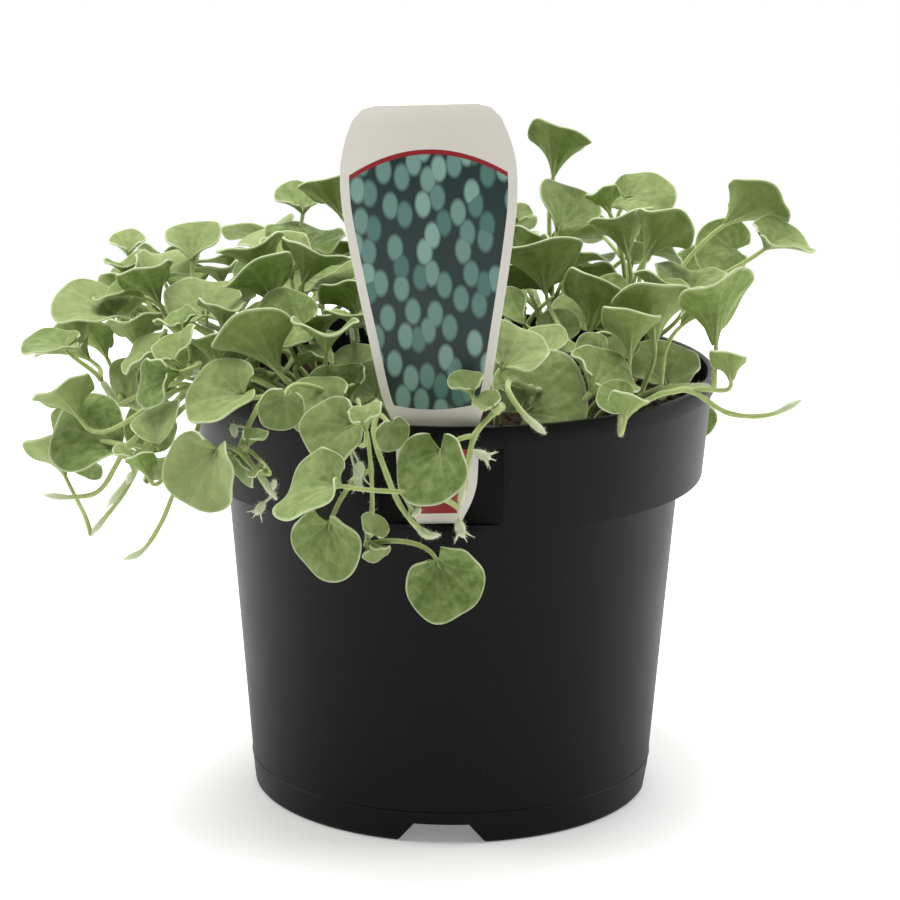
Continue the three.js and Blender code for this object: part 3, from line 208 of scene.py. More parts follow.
# Stems. Each row: name, radius, root in the soil, places along the stem, then its leaves.
# A leaf: share along the stem, picture place and depth of the blade's base, width, direction of the
# midrib in the picture, its lean towards the viewer, the way the upper face looks (right, up, near),
# fold along the midrib, arch from base to tip, and how far the blade spreads round its base.
STEMS = [
    ["far_left_upper", 1.1, [-44, 2],
       [[262, 372, -6], [225, 352, -4], [180, 338, 0], [140, 334, 3], [116, 330, 6]], [
        [1.0, 112, 317, 6, 25, 168, 0, [0, 0.86, 0.5], 20, -14, 150],
        [0.86, 120, 328, -1, 22.5, 84, -8, [0, 0.35, -0.95], 53, 10, 130],
        [0.72, 134, 324, -10, 14.5, 78, -10, [0, 0.2, 1], 46, 0, 150],
        [0.66, 144, 297, 2, 19, 152, 10, [0, 0.9, 0.35], 50, 0, 150],
        [0.6, 160, 304, 3, 23, 112, 15, [-0.2, 0.5, -0.85], 49, 10, 150],
        [0.55, 150, 296, -6, 26, 72, 0, [-0.3, 0.35, 0.9], 50, -10, 150],
        [0.5, 142, 286, -14, 17, 128, -15, [0, 0.4, 0.9], 31, 0, 150],
        [0.62, 126, 275, -8, 21, 94, 38, [0, 0.62, -0.78], 43, 8, 130],
        [0.45, 129, 256, -20, 13, 94, 0, [0, 0.15, 1], 41, 0, 150],
        [0.4, 163, 266, -22, 20, 84, -55, [0, 0.8, 0.6], 33, 0, 150]]],
    ["far_left_lower", 1.1, [-42, -20],
       [[262, 376, 22], [222, 367, 20], [190, 372, 20], [160, 396, 22], [122, 404, 24], [101, 380, 26]], [
        [1.0, 66, 350, 26, 18, 176, 0, [0, 0.92, 0.38], 20, -12, 150],
        [0.98, 90, 360, 22, 24.5, 138, 5, [-0.1, 0.75, 0.65], 48, 5, 150],
        [0.8, 107, 358, 14, 22, 112, 5, [0.1, 0.4, -0.9], 51, 8, 150],
        [0.72, 139, 350, 7, 20.5, 98, 12, [0, 0.4, -0.9], 44, 10, 150],
        [0.66, 166, 362, 20, 23, 148, -12, [-0.1, 0.6, 0.8], 39, -8, 150],
        [0.7, 141, 359, 27, 18, 232, 0, [-0.35, 0.35, 0.85], 40, 0, 108],
        [0.55, 166, 379, 25, 19, 194, 0, [0, 0.15, 1], 14, -8, 150]]],
    ["hanging_left_a", 1.0, [-38, -32],
       [[262, 384, 34], [224, 379, 44], [196, 387, 47], [165, 412, 48], [128, 446, 50], [101, 489, 50],
        [74, 497, 50], [43, 495, 50]], [
        [0.42, 121, 450, 47, 25.5, 152, 0, [-0.15, 0.4, 0.9], 32, -8, 112],
        [0.38, 80, 419, 38, 22.5, 118, 10, [0, 0.5, -0.85], 46, 0, 150],
        [0.36, 77, 421, 30, 12, 200, 0, [0, 0.4, 0.9], 35, 0, 150],
        [0.62, 91, 458, 42, 9.5, 252, 0, [0.1, 0, 1], 35, 0, 150],
        [0.62, 150, 457, 46, 11.5, -62, 0, [0.3, 0.3, 0.9], 40, 0, 150]]],
    ["hanging_left_b", 1.0, [-45, -11],
       [[250, 366, 8], [216, 356, 7], [186, 359, 8], [167, 384, 13], [152, 428, 26], [128, 486, 38],
        [91, 535, 38]], [
        [1.0, 66, 478, 36, 19.5, 112, 6, [0.1, 0.4, -0.9], 54, 0, 118],
        [0.7, 163, 420, 24, 15.5, 200, 0, [0, 0.05, 1], 10, 0, 150]]],
    ["hanging_left_c", 1.0, [-33, -44],
       [[266, 384, 48], [232, 380, 58], [190, 402, 60], [162, 432, 60], [147, 455, 61], [107, 507, 61]], [
        [0.6, 158, 447, 58, 17, 104, 0, [-0.35, 0.25, 0.9], 42, 0, 108],
        [0.8, 133, 469, 62, 11, 112, 0, [0.75, 0.2, 0.6], 60, 0, 150]]],
    ["hanging_left_d", 0.9, [-40, -38],
       [[246, 384, 35], [212, 390, 49], [194, 440, 62], [172, 497, 64], [160, 525, 64], [143, 550, 64],
        [123, 560, 64]], [
        [0.5, 150, 480, 62, 13, 112, 0, [0.2, 0.4, -0.8], 54, 0, 150]]],
    ["front_left", 1.0, [-31, -37],
       [[290, 402, 56], [268, 398, 65], [256, 411, 70], [243, 447, 73], [262, 478, 77], [277, 500, 79]], [
        [0.3, 244, 397, 66, 23.5, 184, 0, [0.1, 0.74, 0.66], 24, -16, 138],
        [0.8, 218, 450, 74, 23.5, 240, 0, [-0.45, 0.05, 0.9], 26, -8, 136],
        [0.6, 244, 448, 76, 15, 248, 0, [-0.6, 0, 0.8], 48, 0, 150],
        [0.6, 247, 447, 75, 9.5, 66, 0, [-0.3, 0.3, 0.85], 50, 0, 150],
        [0.75, 266, 474, 80, 7, 150, 0, [0.2, 0.5, 0.8], 45, 0, 150]]],
    ["front_middle", 1.1, [-25, -35],
       [[338, 398, 60], [344, 416, 70], [347, 440, 73]], [
        [0.7, 338, 410, 69, 19, 172, 0, [-0.1, 0.62, 0.76], 24, -12, 138],
        [0.35, 285, 396, 71, 12.5, -108, 0, [0.3, 0.15, 0.95], 22, -8, 138],
        [0.75, 352, 426, 70, 18, 200, 0, [0.1, 0.4, 0.9], 22, -10, 138],
        [0.6, 352, 394, 62, 17.5, 128, -5, [0, 0.8, 0.6], 35, 0, 150],
        [1.0, 366, 432, 74, 13, 96, 0, [-0.3, 0.3, 0.85], 50, 0, 150]]],
    ["front_thin", 0.8, [-20, -41],
       [[358, 400, 60], [363, 418, 70], [368, 440, 74], [371, 470, 76], [372, 510, 77], [366, 545, 77]], [
        [0.72, 330, 523, 78, 20.5, -96, 4, [-0.4, 0.1, 0.92], 26, -8, 138],
        [1.0, 437, 561, 80, 21.5, -66, 4, [-0.15, 0.28, 0.95], 25, -14, 137],
        [0.9, 372, 534, 79, 8.5, 78, 0, [0.5, 0.1, 0.85], 30, 0, 138],
        [1.0, 369, 541, 79, 9.5, -62, 0, [-0.5, 0.2, 0.8], 44, 0, 138]]],
    ["front_bright", 1.0, [-15, -38],
       [[377, 402, 60], [376, 416, 71], [374, 434, 76], [382, 462, 80], [400, 505, 82], [424, 533, 83],
        [441, 535, 83]], [
        [0.3, 389, 425, 72, 10, -76, 0, [0.4, 0, 0.9], 25, 0, 150],
        [0.85, 410, 514, 84, 6.5, 68, 0, [0.4, 0, 0.9], 50, 0, 150]]],
    ["front_label", 1.0, [13, -51],
       [[499, 408, 60], [501, 407, 69], [489, 418, 76], [474, 437, 80], [466, 475, 83], [459, 508, 84]], [
        [0.98, 341, 486, 84, 23.5, 178, 0, [0.12, 0.72, 0.68], 32, -8, 132],
        [0.66, 441, 451, 84, 21, -112, 30, [-0.3, 0.62, 0.7], 26, -10, 138],
        [0.3, 472, 395, 74, 11.5, 110, 0, [0, 0.6, 0.8], 40, 0, 150],
        [0.36, 492, 409, 76, 8.5, 125, 0, [0, 0.5, 0.85], 35, 0, 150]]],
    ["upper_left", 1.0, [-40, -4],
       [[272, 362, 2], [250, 340, 6], [222, 330, 10], [200, 322, 14]], [
        [0.9, 192, 262, 0, 18.5, 92, 6, [0, 0.3, 0.95], 42, 6, 130],
        [0.7, 222, 284, -8, 17, 104, 30, [0, 0.7, -0.7], 42, 0, 150],
        [1.0, 206, 316, 16, 20.5, 101, -38, [0, 0.55, 0.85], 16, -12, 150],
        [0.6, 239, 304, 6, 11.5, 96, 0, [0.35, 0.2, 0.9], 35, 0, 150],
        [0.55, 223, 330, 18, 20.5, 88, 36, [0, 0.62, -0.78], 54, 8, 150],
        [0.8, 190, 292, -14, 14.5, 100, -20, [0, 0.4, 0.9], 31, 0, 108]]],
    ["left_middle", 1.0, [-37, -26],
       [[268, 380, 30], [240, 376, 32], [212, 374, 34], [190, 374, 34]], [
        [0.95, 185, 338, 26, 27, 118, -12, [-0.1, 0.85, 0.5], 50, 0, 150],
        [1.0, 184, 370, 38, 19.5, 112, 0, [-0.5, 0.35, 0.8], 50, 0, 150],
        [0.8, 200, 370, 38, 12.5, 118, -5, [0, 0.5, 0.85], 30, 0, 150],
        [0.6, 216, 367, 40, 26, 95, 16, [0, 0.42, -0.9], 47, 6, 150],
        [0.3, 243, 374, 34, 16.5, 114, 10, [0, 0.75, 0.5], 58, 0, 150],
        [0.3, 246, 346, 30, 13.5, 102, -10, [0, 0.5, 0.85], 31, 0, 150],
        [0.9, 181, 372, 44, 19.5, 196, 10, [0, 0.35, 0.9], 50, 0, 150]]],
    ["inner_left_a", 1.0, [-36, -9],
       [[292, 358, 6], [280, 335, 6], [272, 312, 6]], [
        [1.0, 269, 278, 4, 24.5, 114, 22, [-0.05, 0.65, -0.75], 48, 6, 124],
        [0.9, 262, 279, -6, 12.5, 150, 0, [0, 0.5, 0.85], 20, 0, 150],
        [0.8, 292, 281, -4, 23, 100, 10, [0.1, 0.7, 0.6], 55, 0, 150],
        [0.7, 276, 305, 14, 24, 116, 20, [-0.1, 0.5, -0.85], 47, 6, 115],
        [0.4, 263, 335, 20, 17, 122, -10, [0, 0.4, 0.9], 31, 0, 150],
        [0.2, 258, 370, 30, 22, 104, 0, [-0.35, 0.6, 0.65], 52, 0, 150]]],
    ["inner_left_b", 1.0, [-31, -15],
       [[312, 362, 14], [312, 338, 12], [308, 312, 8]], [
        [1.0, 303, 284, 0, 26, 70, 20, [0, 0.65, -0.75], 46, 6, 150],
        [0.9, 311, 305, 10, 19, 162, 0, [0, 0.85, 0.5], 44, 0, 150],
        [0.85, 300, 300, -8, 17, 92, -10, [0, 0.5, 0.85], 36, 0, 150],
        [0.5, 318, 345, 24, 23, 95, 22, [0, 0.6, -0.8], 46, 6, 150],
        [0.6, 301, 326, 22, 18.5, 166, -8, [0, 0.5, 0.87], 14, -8, 150],
        [0.4, 290, 346, 28, 22, 106, -15, [0, 0.7, 0.7], 45, 0, 150]]],
    ["inner_left_c", 1.1, [-28, -30],
       [[318, 384, 36], [304, 386, 40], [290, 384, 42]], [
        [1.0, 281, 375, 50, 30.5, 122, 8, [0.1, 0.6, -0.78], 52, 6, 130],
        [0.7, 297, 366, 34, 24, 44, 0, [-0.2, 0.85, 0.45], 50, 0, 150],
        [0.3, 326, 353, 34, 22.5, 90, 32, [0, 0.8, -0.55], 46, 0, 130]]],
    ["back_left", 1.0, [-30, 14],
       [[330, 352, -20], [325, 320, -30], [318, 285, -36]], [
        [0.9, 306, 250, -30, 23, 92, -58, [0, 0.8, 0.6], 14, -12, 150],
        [1.0, 303, 214, -42, 18, 93, -12, [0, 0.1, 1], 35, 8, 150],
        [0.95, 341, 216, -34, 21, 112, 5, [0.3, 0.3, -0.85], 49, 6, 130],
        [0.6, 350, 286, -22, 14.5, 112, -5, [0, 0.35, 0.9], 31, 0, 150]]],
    ["left_of_label", 1.0, [-22, -20],
       [[352, 368, 20], [354, 345, 18], [352, 322, 14]], [
        [1.0, 346, 292, 0, 19.5, 116, -12, [0, 0.6, 0.8], 41, 0, 150],
        [0.95, 353, 300, 8, 21, 122, -12, [0, 0.6, 0.8], 41, 0, 150],
        [0.9, 361, 321, 14, 22.5, 114, 15, [0, 0.45, -0.88], 53, 6, 150],
        [0.75, 356, 329, 22, 24, 96, 40, [0, 0.72, -0.7], 42, 0, 130],
        [0.3, 354, 376, 46, 19.5, 70, -5, [-0.1, 0.42, 0.9], 26, 0, 150],
        [0.2, 378, 398, 46, 16, 110, 0, [-0.5, 0.2, 0.85], 30, 0, 150]]],
    ["back_right", 1.0, [22, 12],
       [[545, 352, -14], [548, 325, -24], [552, 295, -32]], [
        [1.0, 553, 178, -38, 26, 80, 14, [0.12, 0.55, -0.82], 53, 8, 130],
        [0.95, 558, 231, -32, 22, 68, -5, [0.3, 0.15, 0.95], 34, 0, 108],
        [0.8, 566, 272, -22, 25.5, 68, -32, [0, 0.55, 0.85], 38, -10, 150],
        [0.6, 514, 262, -20, 17, 50, 0, [0, 0.4, -0.9], 42, 0, 118],
        [0.5, 517, 222, -34, 9, 70, 0, [0, 0.3, 0.95], 37, 0, 150]]],
    ["right_tall", 1.0, [40, 8],
       [[618, 362, -8], [628, 335, -14], [634, 308, -18]], [
        [0.9, 628, 200, -26, 18.5, 4, 0, [0, 0.62, 0.8], 14, -8, 150],
        [0.85, 641, 216, -36, 19.5, 112, -8, [0, 0.3, 0.95], 38, 0, 150],
        [0.8, 610, 214, -30, 14.5, 112, 8, [0.2, 0.4, -0.85], 51, 0, 150],
        [1.0, 628, 257, -14, 27, 102, 16, [0, 0.55, -0.8], 49, 8, 150],
        [1.0, 643, 262, -10, 27, 62, 8, [0.2, 0.5, -0.82], 53, 6, 150],
        [0.9, 633, 262, -24, 9, 62, 0, [0, 0.3, 0.9], 30, 0, 150]]],
    ["right_spreading", 1.0, [46, -4],
       [[640, 372, 2], [648, 350, -2], [652, 322, -6]], [
        [1.0, 723, 226, -12, 28.5, 40, 6, [-0.2, 0.5, -0.82], 51, 8, 150],
        [0.95, 735, 250, -22, 17, 171, 0, [0, 0.15, 1], 12, -8, 150],
        [0.9, 765, 249, -2, 21, 26, 0, [-0.2, 0.8, 0.55], 32, -8, 150],
        [0.8, 687, 298, 0, 22, 80, -22, [0, 0.6, 0.8], 33, -6, 150],
        [0.7, 651, 300, 8, 20.5, 68, 38, [0, 0.7, -0.7], 49, 0, 130]]],
    ["right_rim", 1.1, [46, -22],
       [[640, 398, 32], [660, 389, 40], [688, 386, 44], [714, 388, 46]], [
        [0.35, 655, 346, 34, 29.5, 95, 14, [0, 0.5, -0.87], 50, 8, 130],
        [0.55, 681, 326, 30, 29.5, 50, 0, [0, 0.9, 0.35], 50, -6, 130],
        [1.0, 716, 347, 44, 28.5, 95, 6, [-0.3, 0.3, -0.9], 54, 6, 118],
        [0.3, 666, 386, 14, 21, 90, -10, [0, 0.45, 0.9], 29, 0, 150]]],
    ["right_runner", 1.0, [42, -38],
       [[652, 398, 50], [672, 392, 54], [692, 391, 56], [728, 413, 58], [768, 415, 58], [802, 400, 58]], [
        [0.52, 731, 383, 58, 14, 94, 4, [0.2, 0.45, -0.85], 51, 0, 130]]],
    ["right_front", 1.1, [24, -34],
       [[552, 392, 38], [530, 390, 50], [513, 378, 60], [508, 390, 70], [522, 412, 74], [534, 424, 75],
        [546, 434, 76]], [
        [0.28, 525, 413, 56, 27, 40, -18, [0, 0.38, 0.93], 10, -16, 150],
        [0.3, 502, 370, 60, 22, 68, 0, [0, 0.2, 1], 35, 0, 150],
        [0.25, 505, 392, 56, 11, -40, 0, [0, 0.3, 0.95], 15, 0, 150]]],
    ["right_middle", 1.0, [31, -20],
       [[588, 372, 24], [575, 352, 22], [562, 335, 18]], [
        [1.0, 546, 292, 4, 25.5, 96, 8, [0.1, 0.4, -0.92], 42, 8, 118],
        [0.95, 525, 325, 14, 23.5, 130, 0, [0, 0.85, 0.45], 42, 0, 108],
        [0.8, 586, 327, 0, 18, 114, -14, [0, 0.45, 0.9], 28, -8, 150],
        [0.6, 545, 356, 34, 14, 94, -8, [0, 0.45, 0.9], 32, 0, 150],
        [0.5, 561, 359, 40, 16, 58, -20, [0, 0.6, 0.8], 36, 0, 150],
        [0.9, 550, 336, 16, 13, 40, -10, [0, 0.7, 0.65], 22, 0, 150]]],
    ["right_inner", 1.0, [36, -27],
       [[610, 388, 36], [602, 372, 32], [594, 352, 28]], [
        [1.0, 589, 334, 14, 29, 74, 14, [0.1, 0.58, -0.8], 50, 10, 130],
        [0.9, 612, 300, -4, 10.5, 92, 0, [0, 0.1, 1], 30, 0, 150],
        [0.4, 590, 392, 52, 23, 50, -14, [0, 0.42, 0.9], 36, -10, 150],
        [0.7, 600, 353, 38, 9.5, 150, 0, [0, 0.35, 0.95], 25, 0, 150],
        [0.7, 612, 357, 35, 10.5, 58, 0, [0, 0.35, 0.95], 30, 0, 108],
        [0.8, 601, 350, 26, 14.5, 92, 10, [0, 0.5, -0.85], 46, 0, 150],
        [0.8, 605, 335, 8, 14.5, 92, 0, [0, 0.2, 1], 35, 0, 150]]],
    ["right_low", 1.0, [38, -33],
       [[622, 398, 44], [628, 392, 46], [629, 380, 44]], [
        [1.0, 630, 357, 38, 23, 88, 12, [0, 0.58, -0.8], 52, 8, 130],
        [0.2, 623, 399, 50, 10, 168, 0, [0, 0.5, 0.87], 12, 0, 150],
        [0.3, 625, 421, 66, 14, 80, 8, [0, 0.6, -0.75], 46, 0, 150]]],
]

# Stems that nobody sees from the front, each with its bearing in degrees from the pot's back. The back
# ones lean out over the rim and droop, the crown ones stay over the soil.
BACK_PATH = [(36, 107), (44, 116), (58, 123.5), (71, 122), (78.5, 113), (80.5, 99), (80, 84)]
CROWN_PATH = [(15, 109), (22, 114), (31, 117), (39, 118)]
ROOT_INWARD = 6
RULE_STEMS = [
    ("back_far_left", -59, BACK_PATH, 6),
    ("back_mid_left", -34, BACK_PATH, 6),
    ("back_middle", -2, BACK_PATH, 6),
    ("back_mid_right", 17, BACK_PATH, 6),
    ("back_far_right", 37, BACK_PATH, 6),
    ("crown_left", -29, CROWN_PATH, 4),
    ("crown_middle", 7, CROWN_PATH, 4),
    ("crown_right", 42, CROWN_PATH, 4),
]
PATH_STEPS = 8
ROOT_STEP = 3


def centre_line(root, places):
    """A smooth line through a stem's root and its places, with PATH_STEPS points to each joint."""
    x, y = root
    knots = np.array([vec(x, y, SOIL_TOP - HOLE_DEPTH + 1), vec(x, y, SOIL_TOP + ROOT_STEP), *places])
    ends = np.vstack([2 * knots[0] - knots[1], knots, 2 * knots[-1] - knots[-2]])
    points = []
    for a, b, c, d in zip(ends, ends[1:], ends[2:], ends[3:]):
        for t in np.arange(PATH_STEPS) / PATH_STEPS:
            pull = (c - a) * t + (2 * a - 5 * b + 4 * c - d) * t ** 2 + (3 * b - a - 3 * c + d) * t ** 3
            points.append(0.5 * (2 * b + pull))
    return np.array([*points, knots[-1]])


def joint_at(line, share):
    """The joint of a stem nearest to a share of its length above the soil: leaves spring from the joints."""
    joints = (len(line) - 1) // PATH_STEPS
    return line[PATH_STEPS * (1 + math.ceil(share * (joints - 1) - 0.5))]


def leaf_of(share, place, width, way, look, fold, arch, spread, phase, wave):
    return dict(blade_axes(way, look, fold), share=share, place=place, width=width, fold=fold, arch=arch,
                spread=spread, phase=phase, wave=wave)


def listed_stems():
    """The stems of the table."""
    draw = draws(SEED)
    stems = []
    for name, radius, root, places, rows in STEMS:
        line = centre_line(root, [seen(*place) for place in places])
        leaves = []
        for share, px, py, depth, width, direction, lean, face, fold, arch, spread in rows:
            d, t = math.radians(direction), math.radians(lean)
            way = RIGHT * (math.cos(t) * math.cos(d)) + UP * (math.cos(t) * math.sin(d)) + BACK * math.sin(t)
            look = RIGHT * face[0] + UP * face[1] + BACK * face[2]
            place = lambda nudge, px=px, py=py, depth=depth: seen(px, py, depth + nudge)
            phase, wave = 2 * math.pi * draw(), 0.025 + 0.03 * draw()
            leaves.append(leaf_of(share, place, width, way, look, fold, arch, spread, phase, wave))
        stems.append(dict(name=name, radius=radius, line=line, leaves=leaves))
    return stems


def rule_stems():
    """The stems that a rule makes, with leaves in turn on either side."""
    draw = draws(SEED + 1)
    stems = []
    for name, bearing, path, count in RULE_STEMS:
        out = vec(math.sin(math.radians(bearing)), math.cos(math.radians(bearing)), 0)
        side = np.cross(out, SKY)
        sway = 5 * (draw() - 0.5)
        places = [out * r + side * (sway * i / 3) + SKY * (z + 2 * (draw() - 0.5))
                  for i, (r, z) in enumerate(path)]
        root = path[0][0] - ROOT_INWARD
        line = centre_line((root * out[0], root * out[1]), places)
        leaves = []
        for i in range(count):
            share = 0.26 + 0.7 * i / (count - 1)
            hand = 1 if i % 2 else -1
            hang = max(0, (share - 0.55) / 0.45) if path is BACK_PATH else 0
            width = 18 + 7 * draw() - 7 * hang
            spread = 150 if draw() < 0.5 else 112
            reach, rise = 6 + 5 * draw(), (1 - hang) * (8 + 9 * draw()) + 2
            start = joint_at(line, share) + side * (hand * reach) + SKY * rise + out * (3 + 4 * hang)
            place = lambda nudge, start=start, out=out: start + out * nudge
            way = side * (hand * (0.5 + 0.5 * draw())) + out * (0.5 + 0.4 * draw())
            way = unit(way + SKY * (0.6 - 1.3 * hang + 0.4 * draw()))
            look = SKY * (0.9 - 0.5 * hang) + out * (0.4 + 0.9 * hang) + side * (0.3 * (draw() - 0.5))
            fold, arch = (1 - hang) * (16 + 20 * draw()) + 14, 10 * (draw() - 0.5)
            phase, wave = 2 * math.pi * draw(), 0.025 + 0.03 * draw()
            leaves.append(leaf_of(share, place, width, way, look, fold, arch, spread, phase, wave))
        stems.append(dict(name=name, radius=1.0, line=line, leaves=leaves))
    return stems


# Settling: each blade and its stalk take the first place that is clear of all that is already there, and
# a blade with no room stays smaller

SAMPLE = 2.2
CLEAR_OTHER = 2
CLEAR_OWN = 1.2
NUDGES = [0, 2, -2, 4, -4, 6, -6, 8, -8, 11, -11, 14, -14, 17, -17]
SHRINKS = [1, 0.86, 0.74, 0.62]
SWAYS = [(0, 0, 0), (0, 0, 4), (0, 0, -4), (4, 0, 0), (-4, 0, 0), (0, 4, 0), (0, 0, 8), (0, 0, -8),
         (8, 0, 0), (-8, 0, 0), (0, 8, 0)]
LABEL_WIDTHS = [(90.5, 5.4), (94.2, 7.4), (98, 9.4), (104.5, 10.2), (111.5, 10.3), (116.6, 10.4),
                (120.2, 12.5), (125.5, 13.9), (140.5, 16.5), (152.6, 18.7), (163, 20.4), (171.5, 21.6),
                (178.7, 21.8), (183.4, 21.4), (188, 20.2), (192.7, 18.3), (195.4, 15.6), (196.2, 12.6)]


def label_half(z):
    """Half the label's width at a height."""
    heights, halves = zip(*LABEL_WIDTHS)
    return np.interp(z, heights, halves, left=LABEL_WIDTHS[0][1], right=0)


def in_the_way(points):
    """How many points lie in or too near the pot, the soil or the label."""
    x, y, z = points.T
    r = np.hypot(x, y)
    outside = np.where(z > COLLAR_BOTTOM - 1, RIM_RADIUS + 1, BODY_TOP_RADIUS + 1)
    pot = (z < POT_HEIGHT + 1.2) & (r < outside) & ((r > RIM_RADIUS - LIP - 1.2) | (z < SOIL_TOP + 1.2))
    across = x - LABEL_MIDDLE + math.tan(math.radians(LABEL_LEAN)) * (z - POT_HEIGHT)
    card = (np.abs(y - LABEL_PLANE) < 1.2) & (z < 197) & (np.abs(across) < label_half(z) + 0.8)
    return int((pot | card).sum())


def cloud(stem, points):
    centre = points.mean(0)
    return stem, points, centre, np.sqrt(((points - centre) ** 2).sum(1)).max()


def hits(points, stem, placed, other_gap, own_gap):
    """How many of the points are too near what is placed."""
    count = in_the_way(points)
    _, _, centre, reach = cloud(stem, points)
    for owner, theirs, middle, span in placed:
        gap = own_gap if owner == stem else other_gap
        if gap and math.dist(middle, centre) <= span + reach + gap:
            apart = ((points[:, None] - theirs[None]) ** 2).sum(-1).min(1)
            count += int((apart < gap * gap).sum())
    return count


def blade_samples(leaf):
    points = []
    spread = math.radians(leaf["spread"])
    rings = math.ceil(BLADE_LENGTH * leaf["width"] / SAMPLE)
    for j in range(1, rings + 1):
        count = math.ceil((j / rings) * leaf["width"] * 0.9 * spread / SAMPLE)
        angles = spread * (2 * np.arange(count + 1) / count - 1)
        points.append(blade_points(leaf, angles, np.array(j / rings)))
    return np.vstack(points)


def stalk_curve(start, leaf, sway):
    """The four control points of the stalk, from the stem to the blade's base."""
    base = leaf["base"]
    span = np.linalg.norm(base - start)
    arrive = unit(cone_of(leaf)[1] + 0.6 * leaf["m"])
    leave = unit((base - start) / span + SKY * 0.6)
    aside = RIGHT * sway[0] + UP * sway[1] + NEAR * sway[2]
    return np.array([start, start + leave * 0.3 * span + aside,
                     base - arrive * 0.4 * span + aside * 0.5, base])


def curve_points(control, count):
    t = np.linspace(0, 1, count + 1)[:, None]
    a, b, c, d = control
    return (1 - t) ** 3 * a + 3 * t * (1 - t) ** 2 * b + 3 * t ** 2 * (1 - t) * c + t ** 3 * d


def settle(stems):
    stalks, blades = [], []
    lines = [cloud(stem["name"], stem["line"]) for stem in stems]
    for stem in stems:
        name = stem["name"]
        for leaf in stem["leaves"]:
            start = joint_at(stem["line"], leaf["share"])
            full_width = leaf["width"]
            best = None
            for shrink, nudge in ((shrink, nudge) for shrink in SHRINKS for nudge in NUDGES):
                leaf["width"] = full_width * shrink
                leaf["base"] = leaf["place"](nudge)
                samples = blade_samples(leaf)
                blade_hits = hits(samples, name, lines + stalks + blades, CLEAR_OTHER, CLEAR_OWN)
                if best and blade_hits >= best[0]:
                    continue
                for sway in SWAYS:
                    control = stalk_curve(start, leaf, sway)
                    points = curve_points(control, 12)[1:-1]
                    stalk_hits = hits(points, name, lines + stalks, CLEAR_OTHER, 0)
                    stalk_hits += hits(points, name, blades, CLEAR_OTHER, CLEAR_OWN)
                    score = blade_hits + stalk_hits
                    if not best or score < best[0]:
                        best = (score, leaf["base"], control, samples, points, leaf["width"])
                    if not stalk_hits:
                        break
                if not best[0]:
                    break
            leaf["score"], leaf["base"], leaf["stalk"], leaf["width"] = *best[:3], best[5]
            blades.append(cloud(name, best[3]))
            stalks.append(cloud(name, best[4]))


# Fine meshes. A sheet of points becomes faces between its rows; everything is gathered per piece.


class Gather:
    """Collects points, faces and what each point is for one piece, in mm."""

    def __init__(self):
        self.points, self.faces, self.slots, self.kinds, self.count = [], [], [], [], 0

    def add(self, points, faces, slot, kind):
        """Points (n, 3), faces as index rows into them, a material slot, and (n, 4) kinds."""
        self.points.append(points)
        self.kinds.append(kind)
        self.faces += [tuple(int(i) + self.count for i in face) for face in faces]
        self.slots += [slot] * len(faces)
        self.count += len(points)

    def mesh(self, name, materials):
        mesh = bpy.data.meshes.new(name)
        mesh.from_pydata((np.vstack(self.points) * MM).tolist(), [], self.faces)
        kinds = mesh.attributes.new("leaf", "FLOAT_COLOR", "POINT")
        kinds.data.foreach_set("color", np.vstack(self.kinds).ravel())
        for material in materials:
            mesh.materials.append(material)
        mesh.polygons.foreach_set("material_index", self.slots)
        mesh.polygons.foreach_set("use_smooth", [True] * len(self.faces))
        mesh.validate()
        return mesh


def add_object(name, mesh):
    obj = bpy.data.objects.new(name, mesh)
    bpy.context.scene.collection.objects.link(obj)
    return obj


def sheet_faces(rows, columns, closed=False):
    """Quads between the rows of a sheet of points; closed joins the last column to the first."""
    faces = []
    for j in range(rows - 1):
        for i in range(columns if closed else columns - 1):
            k = (i + 1) % columns
            faces.append((j * columns + i, j * columns + k, (j + 1) * columns + k, (j + 1) * columns + i))
    return faces


def tube(line, radii, sides):
    """A closed round tube through points: its own points and faces."""
    count = len(line)
    rings = []
    side = SKY
    for i, point in enumerate(line):
        along = unit(line[min(i + 1, count - 1)] - line[max(i - 1, 0)])
        if abs(side @ along) > 0.97:
            side = vec(1, 0, 0) if abs(along[0]) < 0.8 else vec(0, 1, 0)
        side = unit(side - along * (side @ along))
        other = np.cross(along, side)
        turn = 2 * math.pi * np.arange(sides)[:, None] / sides
        rings.append(point + radii[i] * (np.cos(turn) * side + np.sin(turn) * other))
    ends = [tuple(range(sides))[::-1], tuple(range((count - 1) * sides, count * sides))]
    return np.vstack(rings), sheet_faces(count, sides, closed=True) + ends


# Blades: rings from the base to the rim, closer together where the pale rim begins
RING_SHARES = np.array([0.05, 0.16, 0.28, 0.4, 0.52, 0.63, 0.73, 0.82, 0.9, 0.95, 0.978, 0.994])
RIM_START = 0.955
COLUMN_MM = 0.95
VEIN_ANGLES_KIDNEY = [0, 26, -26, 55, -55, 92, -92, 130, -130]
VEIN_ANGLES_FAN = [0, 20, -20, 42, -42, 66, -66, 90, -90]
VEIN_RELIEF = 0.13
STALK_SIDES = 8

# Stalks: their thickness as a share of the blade's width, their taper, and the rib they run out into,
# placed along the blade and sunk under it by some mm
STALK_SHARE = 0.07
STALK_STEPS = 12
STALK_FOOT, STALK_HEAD = 1.12, 0.86
RIB_SHARES = np.array([0.12, 0.3, 0.5])
RIB_THICKNESS = np.array([0.62, 0.42, 0.14])
RIB_DROP = 0.2


